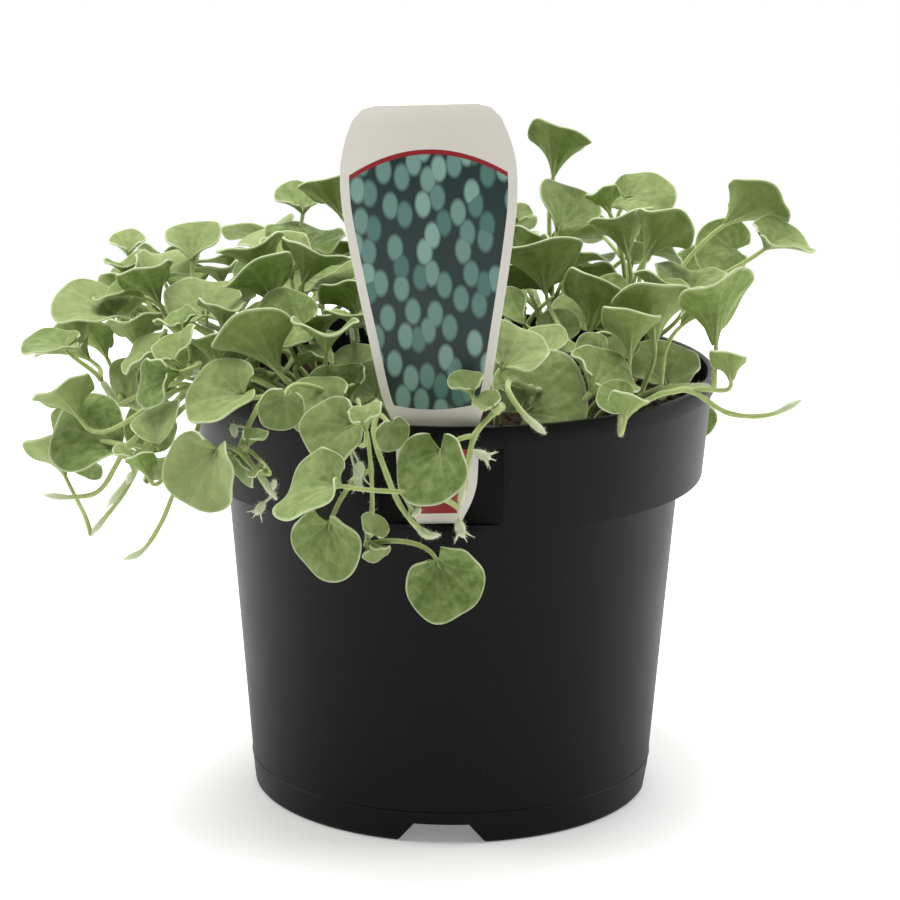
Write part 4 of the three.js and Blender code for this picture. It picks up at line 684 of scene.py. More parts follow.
def blade_sheets(leaf):
    """Mid surface, normals and vein strength of a blade on its grid of rings and columns."""
    width = leaf["width"]
    spread = math.radians(leaf["spread"])
    columns = max(22, int(2 * spread * 0.5 * width / COLUMN_MM)) | 1
    theta = spread * np.linspace(-1, 1, columns)[None, :]
    share = RING_SHARES[:, None]
    grid = blade_points(leaf, theta + 0 * share, share + 0 * theta)
    step = 1e-3
    along = blade_points(leaf, theta + 0 * share, share + step + 0 * theta) - grid
    across = blade_points(leaf, theta + step + 0 * share, share + 0 * theta) - grid
    normals = np.cross(along, across)
    normals /= np.linalg.norm(normals, axis=-1, keepdims=True)
    if (normals @ leaf["n"]).mean() < 0:
        normals = -normals
    wedge = wedge_of(leaf)
    angles = VEIN_ANGLES_FAN if wedge > 0.5 else VEIN_ANGLES_KIDNEY
    veins = np.zeros(grid.shape[:2])
    for k, degrees in enumerate(angles):
        apart = width * share * np.abs(np.sin(np.clip(theta - math.radians(degrees), -1.5, 1.5))) * 0.5
        thick = (0.55 if k == 0 else 0.42) * (1 - 0.5 * share)
        veins = np.maximum(veins, np.exp(-(apart / thick) ** 2) * (1 - 0.75 * share ** 2))
    return grid, normals, veins, columns


def add_blade(gather, leaf, tone):
    grid, normals, veins, columns = blade_sheets(leaf)
    rings = len(RING_SHARES)
    rim = blade_points(leaf, math.radians(leaf["spread"]) * np.linspace(-1, 1, columns), np.array(1.0))
    relief = (VEIN_RELIEF * veins)[..., None]
    upper = grid + normals * (BLADE_HALF - relief)
    under = grid - normals * (BLADE_HALF + relief)
    points = np.vstack([upper.reshape(-1, 3), rim, under[::-1].reshape(-1, 3)])
    pale = np.clip((RING_SHARES - RIM_START) / (1 - RIM_START), 0, 1)
    pale = np.repeat(pale, columns)
    side = np.concatenate([np.ones(rings * columns), 0.5 * np.ones(columns), np.zeros(rings * columns)])
    vein = np.concatenate([veins.ravel(), 0 * side[:columns], veins[::-1].ravel()])
    edge = np.concatenate([pale, np.ones(columns), pale[::-1].copy()])
    kinds = np.stack([side, vein, edge, tone + 0 * side], axis=1)
    faces = sheet_faces(2 * rings + 1, columns)
    last = 2 * rings
    for i in (0, columns - 1):
        ring = [j * columns + i for j in range(last + 1)]
        for j in range(rings):
            quad = (ring[j], ring[j + 1], ring[last - j - 1], ring[last - j])
            quad = quad[:2] + quad[3:] if quad[1] == quad[2] else quad
            faces.append(quad if i else quad[::-1])
    foot = list(range(columns))[::-1]
    base = [last * columns + i for i in range(columns)]
    faces.append(tuple(foot + base))
    centre = np.cross(points[faces[0][1]] - points[faces[0][0]], points[faces[0][2]] - points[faces[0][1]])
    if centre @ normals[0, 0] < 0:
        faces = [face[::-1] for face in faces]
    gather.add(points, faces, 0, kinds)


def add_stalk(gather, leaf, tone):
    """The stalk, which runs on as the midrib under the blade."""
    thick = min(STALK_RADIUS, STALK_SHARE * leaf["width"])
    stalk = curve_points(leaf["stalk"], STALK_STEPS)
    rib = blade_points(leaf, 0 * RIB_SHARES, RIB_SHARES) - leaf["n"] * RIB_DROP
    line = np.vstack([stalk, rib])
    taper = np.linspace(STALK_FOOT, STALK_HEAD, len(stalk))
    radii = np.concatenate([taper * thick, thick * RIB_THICKNESS])
    points, faces = tube(line, radii, STALK_SIDES)
    kinds = np.tile([0.5, 0.0, 0.0, tone], (len(points), 1))
    gather.add(points, faces, 1, kinds)


# Stems: TIP_LENGTH, TIP_ROUND and JOINT_LENGTH are in mm and RIPPLE_RATE in radians a mm, the rest are
# shares of the stem's own radius and length or of its tip's
STEM_SLIMNESS, STEM_TAPER = 0.82, 0.2
RIPPLE_HEIGHT, RIPPLE_RATE = 0.05, 0.9
TIP_LENGTH, TIP_SWELL = 7.0, 0.45
TIP_MIDDLE, TIP_SPREAD = 0.45, 0.3
TIP_END, TIP_ROUND = 0.25, 2.2
DOWN_START = 1.3
JOINT_LENGTH, JOINT_SWELL = 1.3, 0.3


def add_stem(gather, stem, tone):
    """The stem, a little swollen at its joints, with a plump downy tip."""
    line = stem["line"]
    steps = np.linalg.norm(np.diff(line, axis=0), axis=1)
    run = np.concatenate([[0], np.cumsum(steps)])
    left = run[-1] - run
    share = run / run[-1]
    ripple = 1 + RIPPLE_HEIGHT * np.sin(RIPPLE_RATE * run)
    radii = stem["radius"] * STEM_SLIMNESS * (1 - STEM_TAPER * share) * ripple
    for leaf in stem["leaves"]:
        joint = np.argmin(np.linalg.norm(line - leaf["stalk"][0], axis=1))
        radii *= 1 + JOINT_SWELL * np.exp(-((run - run[joint]) / JOINT_LENGTH) ** 2)
    downy = np.clip(DOWN_START - left / TIP_LENGTH, 0, 1)
    from_middle = left - TIP_MIDDLE * TIP_LENGTH
    radii *= 1 + TIP_SWELL * np.exp(-(from_middle / (TIP_SPREAD * TIP_LENGTH)) ** 2)
    radii *= np.clip(TIP_END + left / TIP_ROUND, 0, 1)
    points, faces = tube(line, radii, STALK_SIDES)
    kinds = np.tile([0.5, 0.0, 0.0, tone], (len(points), 1))
    kinds[:, 2] = np.repeat(downy, STALK_SIDES)
    gather.add(points, faces, 1, kinds)


# Buds: each row is the stem that bears it, its picture place and depth, the direction it hangs in the
# picture, its length and how many pointed sepals open at its end
BUDS = [
    ("front_label", 423, 476, 84, -60, 4.4, 5), ("front_label", 476, 452, 82, -25, 4.2, 6),
    ("front_label", 458, 520, 84, -75, 4.6, 5), ("front_middle", 360, 462, 75, -95, 5.0, 5),
    ("front_middle", 357, 476, 76, -80, 3.6, 4), ("front_left", 264, 502, 78, -120, 3.8, 5),
    ("front_left", 233, 424, 72, -80, 3.6, 0), ("front_left", 275, 480, 78, -100, 2.6, 0),
    ("hanging_left_c", 132, 472, 62, -110, 3.4, 0), ("front_bright", 412, 516, 84, 40, 3.0, 0),
]
BUD_SIDES = 8
BUD_STEPS = 8
BUD_BACKWARD = 0.25
BUD_PLUMPNESS = 0.3
PEDICEL = 0.32
PEDICEL_SIDES, PEDICEL_STEPS = 6, 5
SEPAL_SIDES, SEPAL_STEPS = 5, 5
SEPAL_THICKNESS, SEPAL_TAPER = 0.09, 0.85
BUD_KIND = [0.5, 0.0, 0.9, 0.4]


def add_bud(gather, stem, px, py, depth, direction, length, sepals):
    """A small downy bud on a thin stalk from the nearest point of its stem."""
    place = seen(px, py, depth)
    near = stem["line"][np.argmin(np.linalg.norm(stem["line"] - place, axis=1))]
    turn = math.radians(direction)
    way = unit(RIGHT * math.cos(turn) + UP * math.sin(turn) + BACK * BUD_BACKWARD)
    share = np.linspace(0, 1, BUD_STEPS)
    body = place + np.outer(share, way) * length
    plump = BUD_PLUMPNESS * length * np.sin(math.pi * np.clip(0.12 + 0.86 * share, 0, 1)) ** 0.8
    pedicel = np.linspace(near, place + 0.1 * length * way, PEDICEL_STEPS)
    parts = [(body, plump, BUD_SIDES), (pedicel, [PEDICEL] * PEDICEL_STEPS, PEDICEL_SIDES)]
    side = unit(np.cross(way, BACK))
    other = np.cross(way, side)
    for k in range(sepals):
        angle = 2 * math.pi * k / sepals + px
        out = side * math.cos(angle) + other * math.sin(angle)
        bend = np.linspace(0, 1, SEPAL_STEPS)[:, None]
        line = place + way * length * (0.55 + 0.6 * bend) + out * length * (0.15 + 0.5 * bend ** 1.6)
        thin = SEPAL_THICKNESS * length * (1 - SEPAL_TAPER * bend[:, 0])
        parts.append((line, thin, SEPAL_SIDES))
    for line, radii, sides in parts:
        points, faces = tube(line, radii, sides)
        gather.add(points, faces, 1, np.tile(BUD_KIND, (len(points), 1)))


# Nodes

COLOR_MIX = {"kind": "ShaderNodeMix", "data_type": "RGBA"}
MIX_FACTOR, MIX_A, MIX_B, MIX_COLOR = 0, 6, 7, 2


def add(tree, kind, inputs=None, **settings):
    """Adds one node: its settings by name, and its inputs by name or number as values, nodes or sockets."""
    made = tree.nodes.new(kind)
    for key, value in settings.items():
        setattr(made, key, value)
    for key, value in (inputs or {}).items():
        socket = made.inputs[key]
        value = value.outputs[0] if isinstance(value, bpy.types.Node) else value
        if isinstance(value, bpy.types.NodeSocket):
            tree.links.new(value, socket)
        else:
            socket.default_value = value
    return made


def new_material(name, **constants):
    """A material, its tree and its principled shader. Constants go on the shader's own sockets."""
    material = bpy.data.materials.new(name)
    material.use_nodes = True
    tree = material.node_tree
    shader = tree.nodes["Principled BSDF"]
    for key, value in constants.items():
        shader.inputs[key.replace("_", " ")].default_value = value
    return material, tree, shader


def per_metre(mm):
    """The scale of a pattern whose features are that many mm apart."""
    return 1000 / mm


# Felted leaf: a soft green blade under flat silver hairs, paler along the veins and the rim. The hairs
# give it sheen and no shine, and light comes through the blade.
def leaf_material():
    material, tree, shader = new_material("felted_leaf", Roughness=0.72, IOR=1.4, Specular_IOR_Level=0.3,
                                          Sheen_Weight=0.16, Sheen_Roughness=0.45, Subsurface_Weight=0.3,
                                          Subsurface_Scale=0.001)
    shader.inputs["Subsurface Radius"].default_value = (0.8, 1.1, 0.3)
    shader.inputs["Sheen Tint"].default_value = hexcolor("#E6EBD8")
    place = add(tree, "ShaderNodeTexCoord").outputs["Object"]
    kinds = add(tree, "ShaderNodeAttribute", attribute_name="leaf")
    upper, vein, rim = add(tree, "ShaderNodeSeparateColor", {0: kinds.outputs["Color"]}).outputs
    tone = kinds.outputs["Alpha"]
    blotches = add(tree, "ShaderNodeTexNoise", {"Vector": place, "Scale": per_metre(2.6), "Detail": 5.0,
                                               "Roughness": 0.66})
    mottle = add(tree, "ShaderNodeMapRange", {0: blotches.outputs[0], 1: 0.38, 2: 0.72})
    top = add(tree, **COLOR_MIX, inputs={MIX_FACTOR: mottle, MIX_A: hexcolor("#58722F"),
                                         MIX_B: hexcolor("#899A5C")}).outputs[MIX_COLOR]
    bottom = add(tree, **COLOR_MIX, inputs={MIX_FACTOR: mottle, MIX_A: hexcolor("#678034"),
                                            MIX_B: hexcolor("#8A9F52")}).outputs[MIX_COLOR]
    sides = add(tree, **COLOR_MIX, inputs={MIX_FACTOR: upper, MIX_A: bottom, MIX_B: top}).outputs[MIX_COLOR]
    toned = add(tree, **COLOR_MIX, inputs={MIX_FACTOR: tone, MIX_A: sides,
                                           MIX_B: hexcolor("#A0AB72")}).outputs[MIX_COLOR]
    faint = add(tree, "ShaderNodeMath", {0: vein, 1: 0.2}, operation="MULTIPLY")
    veined = add(tree, **COLOR_MIX, inputs={MIX_FACTOR: faint, MIX_A: toned,
                                            MIX_B: hexcolor("#BFC99A")}).outputs[MIX_COLOR]
    pale = add(tree, "ShaderNodeMath", {0: rim, 1: 0.75}, operation="MULTIPLY")
    color = add(tree, **COLOR_MIX, inputs={MIX_FACTOR: pale, MIX_A: veined,
                                           MIX_B: hexcolor("#CFD6B4")}).outputs[MIX_COLOR]
    tree.links.new(color, shader.inputs["Base Color"])
    felt = add(tree, "ShaderNodeTexNoise", {"Vector": place, "Scale": per_metre(0.4), "Detail": 2.0})
    puckers = add(tree, "ShaderNodeTexNoise", {"Vector": place, "Scale": per_metre(5), "Detail": 2.0})
    fine = add(tree, "ShaderNodeBump", {"Strength": 0.5, "Distance": 0.00012, "Height": felt.outputs[0]})
    bump = add(tree, "ShaderNodeBump", {"Strength": 0.8, "Distance": 0.0012, "Height": puckers.outputs[0],
                                        "Normal": fine})
    tree.links.new(bump.outputs[0], shader.inputs["Normal"])
    return material


# Downy stalk: pale yellow-green and juicy, whiter where the down is thick at the young tips
def stalk_material():
    material, tree, shader = new_material("downy_stalk", Roughness=0.62, IOR=1.4, Specular_IOR_Level=0.3,
                                          Sheen_Weight=0.35, Sheen_Roughness=0.5, Subsurface_Weight=0.35,
                                          Subsurface_Scale=0.001)
    shader.inputs["Subsurface Radius"].default_value = (0.9, 1.1, 0.4)
    shader.inputs["Sheen Tint"].default_value = hexcolor("#EEF2DC")
    place = add(tree, "ShaderNodeTexCoord").outputs["Object"]
    kinds = add(tree, "ShaderNodeAttribute", attribute_name="leaf")
    downy = add(tree, "ShaderNodeSeparateColor", {0: kinds.outputs["Color"]}).outputs[2]
    streaks = add(tree, "ShaderNodeTexNoise", {"Vector": place, "Scale": per_metre(3), "Detail": 3.0})
    base = add(tree, **COLOR_MIX, inputs={MIX_FACTOR: streaks.outputs[0], MIX_A: hexcolor("#8A9A50"),
                                          MIX_B: hexcolor("#B9C284")}).outputs[MIX_COLOR]
    toned = add(tree, **COLOR_MIX, inputs={MIX_FACTOR: kinds.outputs["Alpha"], MIX_A: base,
                                           MIX_B: hexcolor("#B5C683")}).outputs[MIX_COLOR]
    color = add(tree, **COLOR_MIX, inputs={MIX_FACTOR: downy, MIX_A: toned,
                                           MIX_B: hexcolor("#CDD4B4")}).outputs[MIX_COLOR]
    tree.links.new(color, shader.inputs["Base Color"])
    down = add(tree, "ShaderNodeTexNoise", {"Vector": place, "Scale": per_metre(0.35), "Detail": 2.0})
    bump = add(tree, "ShaderNodeBump", {"Strength": 0.6, "Distance": 0.00015, "Height": down.outputs[0]})
    tree.links.new(bump.outputs[0], shader.inputs["Normal"])
    return material


# Fine white hair: thin, soft and almost without shine
def hair_material():
    material, tree, shader = new_material("fine_white_hair", Roughness=0.6, Specular_IOR_Level=0.2)
    place = add(tree, "ShaderNodeTexCoord").outputs["Object"]
    patches = add(tree, "ShaderNodeTexNoise", {"Vector": place, "Scale": per_metre(4), "Detail": 1.0})
    color = add(tree, **COLOR_MIX, inputs={MIX_FACTOR: patches.outputs[0], MIX_A: hexcolor("#D3D9BE"),
                                           MIX_B: hexcolor("#F0F2E6")}).outputs[MIX_COLOR]
    tree.links.new(color, shader.inputs["Base Color"])
    return material


# Black polypropylene, injection moulded with a fine satin surface: soft broad highlights and faint dust
def pot_material():
    material, tree, shader = new_material("black_satin_polypropylene", IOR=1.49, Specular_IOR_Level=0.12)
    place = add(tree, "ShaderNodeTexCoord").outputs["Object"]
    cloudy = add(tree, "ShaderNodeTexNoise", {"Vector": place, "Scale": per_metre(22), "Detail": 5.0})
    black = add(tree, **COLOR_MIX, inputs={MIX_FACTOR: cloudy.outputs[0], MIX_A: hexcolor("#070707"),
                                           MIX_B: hexcolor("#0D0D0D")}).outputs[MIX_COLOR]
    dust = add(tree, "ShaderNodeTexNoise", {"Vector": place, "Scale": per_metre(0.9), "Detail": 3.0})
    specks = add(tree, "ShaderNodeMapRange", {0: dust.outputs[0], 1: 0.68, 2: 0.8, 4: 0.25})
    color = add(tree, **COLOR_MIX, inputs={MIX_FACTOR: specks, MIX_A: black,
                                           MIX_B: hexcolor("#4A4641")}).outputs[MIX_COLOR]
    tree.links.new(color, shader.inputs["Base Color"])
    rough = add(tree, "ShaderNodeMapRange", {0: cloudy.outputs[0], 3: 0.38, 4: 0.5})
    tree.links.new(rough.outputs[0], shader.inputs["Roughness"])
    grain = add(tree, "ShaderNodeTexNoise", {"Vector": place, "Scale": per_metre(0.45), "Detail": 2.0})
    bump = add(tree, "ShaderNodeBump", {"Strength": 0.25, "Distance": 0.0001, "Height": grain.outputs[0]})
    tree.links.new(bump.outputs[0], shader.inputs["Normal"])
    return material


# Damp potting mix: peat and bark, dark and rough
def soil_material():
    material, tree, shader = new_material("damp_potting_mix", Roughness=0.92, Specular_IOR_Level=0.3)
    place = add(tree, "ShaderNodeTexCoord").outputs["Object"]
    clumps = add(tree, "ShaderNodeTexNoise", {"Vector": place, "Scale": per_metre(3.5), "Detail": 6.0,
                                             "Roughness": 0.7})
    color = add(tree, **COLOR_MIX, inputs={MIX_FACTOR: clumps.outputs[0], MIX_A: hexcolor("#120C08"),
                                           MIX_B: hexcolor("#47321F")}).outputs[MIX_COLOR]
    tree.links.new(color, shader.inputs["Base Color"])
    bump = add(tree, "ShaderNodeBump", {"Strength": 0.8, "Distance": 0.0006, "Height": clumps.outputs[0]})
    tree.links.new(bump.outputs[0], shader.inputs["Normal"])
    return material


# The label's print in mm: how far it keeps from the edge, the arch over the picture and its foot, the
# red band along the arch, and the red panel on the tongue
PRINT_MARGIN = 2.3
ARCH_TOP, ARCH_FALL = 184.0, 0.016
FOOT_BOTTOM, FOOT_RISE = 120.0, 0.012
BAND = 1.2
PANEL_TOP, PANEL_BOTTOM = 112.0, 93.2
LEAFLET = 4.4
LEAFLET_TURN = math.radians(38)


# Printed polypropylene label: a satin off-white card with a teal field of oval leaflets, a red band along
# its arch and a red panel on its tongue
def label_material():
    material, tree, shader = new_material("printed_plastic_label", Roughness=0.36, IOR=1.49)
    card = add(tree, "ShaderNodeAttribute", attribute_name="card").outputs["Vector"]
    across, half, height = add(tree, "ShaderNodeSeparateXYZ", {0: card}).outputs
    flat = add(tree, "ShaderNodeCombineXYZ", {0: across, 1: height})
    turned = add(tree, "ShaderNodeMapping", {"Vector": flat, "Rotation": (0, 0, LEAFLET_TURN),
                                             "Scale": (1 / LEAFLET, 0.58 / LEAFLET, 1)})
    cells = add(tree, "ShaderNodeTexVoronoi", {"Vector": turned, "Scale": 1.0, "Randomness": 0.85},
                voronoi_dimensions="2D")
    shape = add(tree, "ShaderNodeMapRange", {0: cells.outputs["Distance"], 1: 0.5, 2: 0.34})
    lightness = add(tree, "ShaderNodeSeparateColor", {0: cells.outputs["Color"]})
    leaflet = add(tree, **COLOR_MIX, inputs={MIX_FACTOR: lightness.outputs[0], MIX_A: hexcolor("#47756B"),
                                             MIX_B: hexcolor("#8DB3A8")}).outputs[MIX_COLOR]
    field = add(tree, **COLOR_MIX, inputs={MIX_FACTOR: shape, MIX_A: hexcolor("#15302D"),
                                           MIX_B: leaflet}).outputs[MIX_COLOR]
    square = add(tree, "ShaderNodeMath", {0: across, 1: across}, operation="MULTIPLY")
    arch = add(tree, "ShaderNodeMath", {0: square, 1: -ARCH_FALL, 2: ARCH_TOP}, operation="MULTIPLY_ADD")
    foot = add(tree, "ShaderNodeMath", {0: square, 1: FOOT_RISE, 2: FOOT_BOTTOM}, operation="MULTIPLY_ADD")
    beyond = add(tree, "ShaderNodeMath", {0: across}, operation="ABSOLUTE")
    margin = add(tree, "ShaderNodeMath", {0: half, 1: PRINT_MARGIN}, operation="SUBTRACT")
    within = add(tree, "ShaderNodeMath", {0: beyond, 1: margin}, operation="LESS_THAN")
    under_arch = add(tree, "ShaderNodeMath", {0: height, 1: arch}, operation="LESS_THAN")
    over_foot = add(tree, "ShaderNodeMath", {0: height, 1: foot}, operation="GREATER_THAN")
    band_top = add(tree, "ShaderNodeMath", {0: arch, 1: BAND}, operation="ADD")
    under_band = add(tree, "ShaderNodeMath", {0: height, 1: band_top}, operation="LESS_THAN")
    inside = add(tree, "ShaderNodeMath", {0: within, 1: over_foot}, operation="MULTIPLY")
    banded = add(tree, "ShaderNodeMath", {0: inside, 1: under_band}, operation="MULTIPLY")
    pictured = add(tree, "ShaderNodeMath", {0: inside, 1: under_arch}, operation="MULTIPLY")
    under_panel = add(tree, "ShaderNodeMath", {0: height, 1: PANEL_TOP}, operation="LESS_THAN")
    over_panel = add(tree, "ShaderNodeMath", {0: height, 1: PANEL_BOTTOM}, operation="GREATER_THAN")
    on_tongue = add(tree, "ShaderNodeMath", {0: under_panel, 1: over_panel}, operation="MULTIPLY")
    panel = add(tree, "ShaderNodeMath", {0: on_tongue, 1: within}, operation="MULTIPLY")
    red = hexcolor("#971D22")
    lined = add(tree, **COLOR_MIX, inputs={MIX_FACTOR: banded, MIX_A: hexcolor("#E6E2D8"),
                                           MIX_B: red}).outputs[MIX_COLOR]
    printed = add(tree, **COLOR_MIX, inputs={MIX_FACTOR: pictured, MIX_A: lined,
                                             MIX_B: field}).outputs[MIX_COLOR]
    color = add(tree, **COLOR_MIX, inputs={MIX_FACTOR: panel, MIX_A: printed,
                                           MIX_B: red}).outputs[MIX_COLOR]
    tree.links.new(color, shader.inputs["Base Color"])
    return material


# Pot

POT_SEGMENTS = 160
CORNER = 0.35
RING_LINE = 8.6


def rounded(profile, corner=CORNER):
    """A profile with each inner corner cut into a small round of three points."""
    points = [profile[0]]
    for before, at, after in zip(profile, profile[1:], profile[2:]):
        before, at, after = (np.array(p, float) for p in (before, at, after))
        reach = min(corner, 0.3 * math.dist(before, at), 0.3 * math.dist(at, after))
        start, end = at + unit(before - at) * reach, at + unit(after - at) * reach
        points += [tuple(start), tuple(0.25 * start + 0.5 * at + 0.25 * end), tuple(end)]
    return points + [profile[-1]]


def lathe(name, profile, segments=POT_SEGMENTS):
    """A body turned round the upright axis, in metres, from (radius, height) pairs in mm."""
    made = bmesh.new()
    turn = 2 * math.pi * np.arange(segments) / segments
    rows = []
    for radius, z in profile:
        if radius == 0:
            rows.append([made.verts.new((0, 0, z * MM))] * segments)
        else:
            rows.append([made.verts.new((radius * MM * math.cos(a), radius * MM * math.sin(a), z * MM))
                         for a in turn])
    for low, high in zip(rows, rows[1:]):
        for i in range(segments):
            k = (i + 1) % segments
            corners = list(dict.fromkeys((low[i], low[k], high[k], high[i])))
            if len(corners) > 2:
                made.faces.new(corners)
    bmesh.ops.recalc_face_normals(made, faces=made.faces)
    mesh = bpy.data.meshes.new(name)
    made.to_mesh(mesh)
    made.free()
    return mesh


def block(name, low, high):
    """A box between two corners in mm."""
    made = bmesh.new()
    bmesh.ops.create_cube(made, size=1)
    for vert in made.verts:
        vert.co = [MM * (high[i] if vert.co[i] > 0 else low[i]) for i in range(3)]
    mesh = bpy.data.meshes.new(name)
    made.to_mesh(mesh)
    made.free()
    return mesh


def evaluated(obj):
    """The object's finished mesh as a plain one, with its modifiers gone."""
    mesh = bpy.data.meshes.new_from_object(obj.evaluated_get(bpy.context.evaluated_depsgraph_get()))
    obj.modifiers.clear()
    obj.data = mesh
    return obj


def combine(obj, mesh, operation):
    """Joins a mesh to an object, cuts it out or keeps what they share."""
    tool = add_object("tool", mesh)
    modifier = obj.modifiers.new("combine", "BOOLEAN")
    modifier.operation, modifier.object, modifier.solver = operation, tool, "EXACT"
    evaluated(obj)
    bpy.data.objects.remove(tool)
    return obj


def ring_tree():
    """Geometry nodes: copies of a shape, evenly round the upright axis."""
    tree = bpy.data.node_groups.new("ring_of_shapes", "GeometryNodeTree")
    tree.interface.new_socket("Geometry", in_out="INPUT", socket_type="NodeSocketGeometry")
    tree.interface.new_socket("Count", in_out="INPUT", socket_type="NodeSocketInt")
    tree.interface.new_socket("Radius", in_out="INPUT", socket_type="NodeSocketFloat")
    tree.interface.new_socket("Start", in_out="INPUT", socket_type="NodeSocketFloat")
    tree.interface.new_socket("Material", in_out="INPUT", socket_type="NodeSocketMaterial")
    tree.interface.new_socket("Geometry", in_out="OUTPUT", socket_type="NodeSocketGeometry")
    given = add(tree, "NodeGroupInput")
    points = add(tree, "GeometryNodePoints", {"Count": given.outputs["Count"]})
    number = add(tree, "GeometryNodeInputIndex")
    part = add(tree, "ShaderNodeMath", {0: number, 1: given.outputs["Count"]}, operation="DIVIDE")
    angle = add(tree, "ShaderNodeMath", {0: part, 1: 2 * math.pi, 2: given.outputs["Start"]},
                operation="MULTIPLY_ADD")
    turn = add(tree, "ShaderNodeCombineXYZ", {"Z": angle})
    out = add(tree, "ShaderNodeCombineXYZ", {"X": given.outputs["Radius"]})
    spot = add(tree, "ShaderNodeVectorRotate", {"Vector": out, "Rotation": turn}, rotation_type="EULER_XYZ")
    placed = add(tree, "GeometryNodeSetPosition", {"Geometry": points, "Position": spot})
    copies = add(tree, "GeometryNodeInstanceOnPoints",
                 {"Points": placed, "Instance": given.outputs["Geometry"], "Rotation": turn})
    real = add(tree, "GeometryNodeRealizeInstances", {"Geometry": copies})
    done = add(tree, "GeometryNodeSetMaterial", {"Geometry": real, "Material": given.outputs["Material"]})
    result = add(tree, "NodeGroupOutput")
    tree.links.new(done.outputs[0], result.inputs[0])
    return tree


def run_tree(obj, tree, **values):
    """Runs a geometry tree on an object with named input values, and leaves the plain mesh."""
    modifier = obj.modifiers.new("nodes", "NODES")
    modifier.node_group = tree
    for socket in tree.interface.items_tree:
        if socket.item_type == "SOCKET" and socket.in_out == "INPUT" and socket.name in values:
            modifier[socket.identifier] = values[socket.name]
    return evaluated(obj)


RING_TREE = ring_tree()


def ring_of(mesh, count, radius, start, material):
    obj = add_object("ring", mesh)
    run_tree(obj, RING_TREE, Count=count, Radius=radius * MM, Start=start, Material=material)
    ring = obj.data
    bpy.data.objects.remove(obj)
    return ring


def prism(name, outline, low, high):
    """A prism: its outline (y, z) in mm is swept in x from low to high."""
    made = bmesh.new()
    ends = [[made.verts.new((x * MM, y * MM, z * MM)) for y, z in outline] for x in (low, high)]
    made.faces.new(ends[0])
    made.faces.new(ends[1][::-1])
    for i in range(len(outline)):
        k = (i + 1) % len(outline)
        made.faces.new((ends[0][i], ends[1][i], ends[1][k], ends[0][k]))
    bmesh.ops.recalc_face_normals(made, faces=made.faces)
    mesh = bpy.data.meshes.new(name)
    made.to_mesh(mesh)
    made.free()
    return mesh


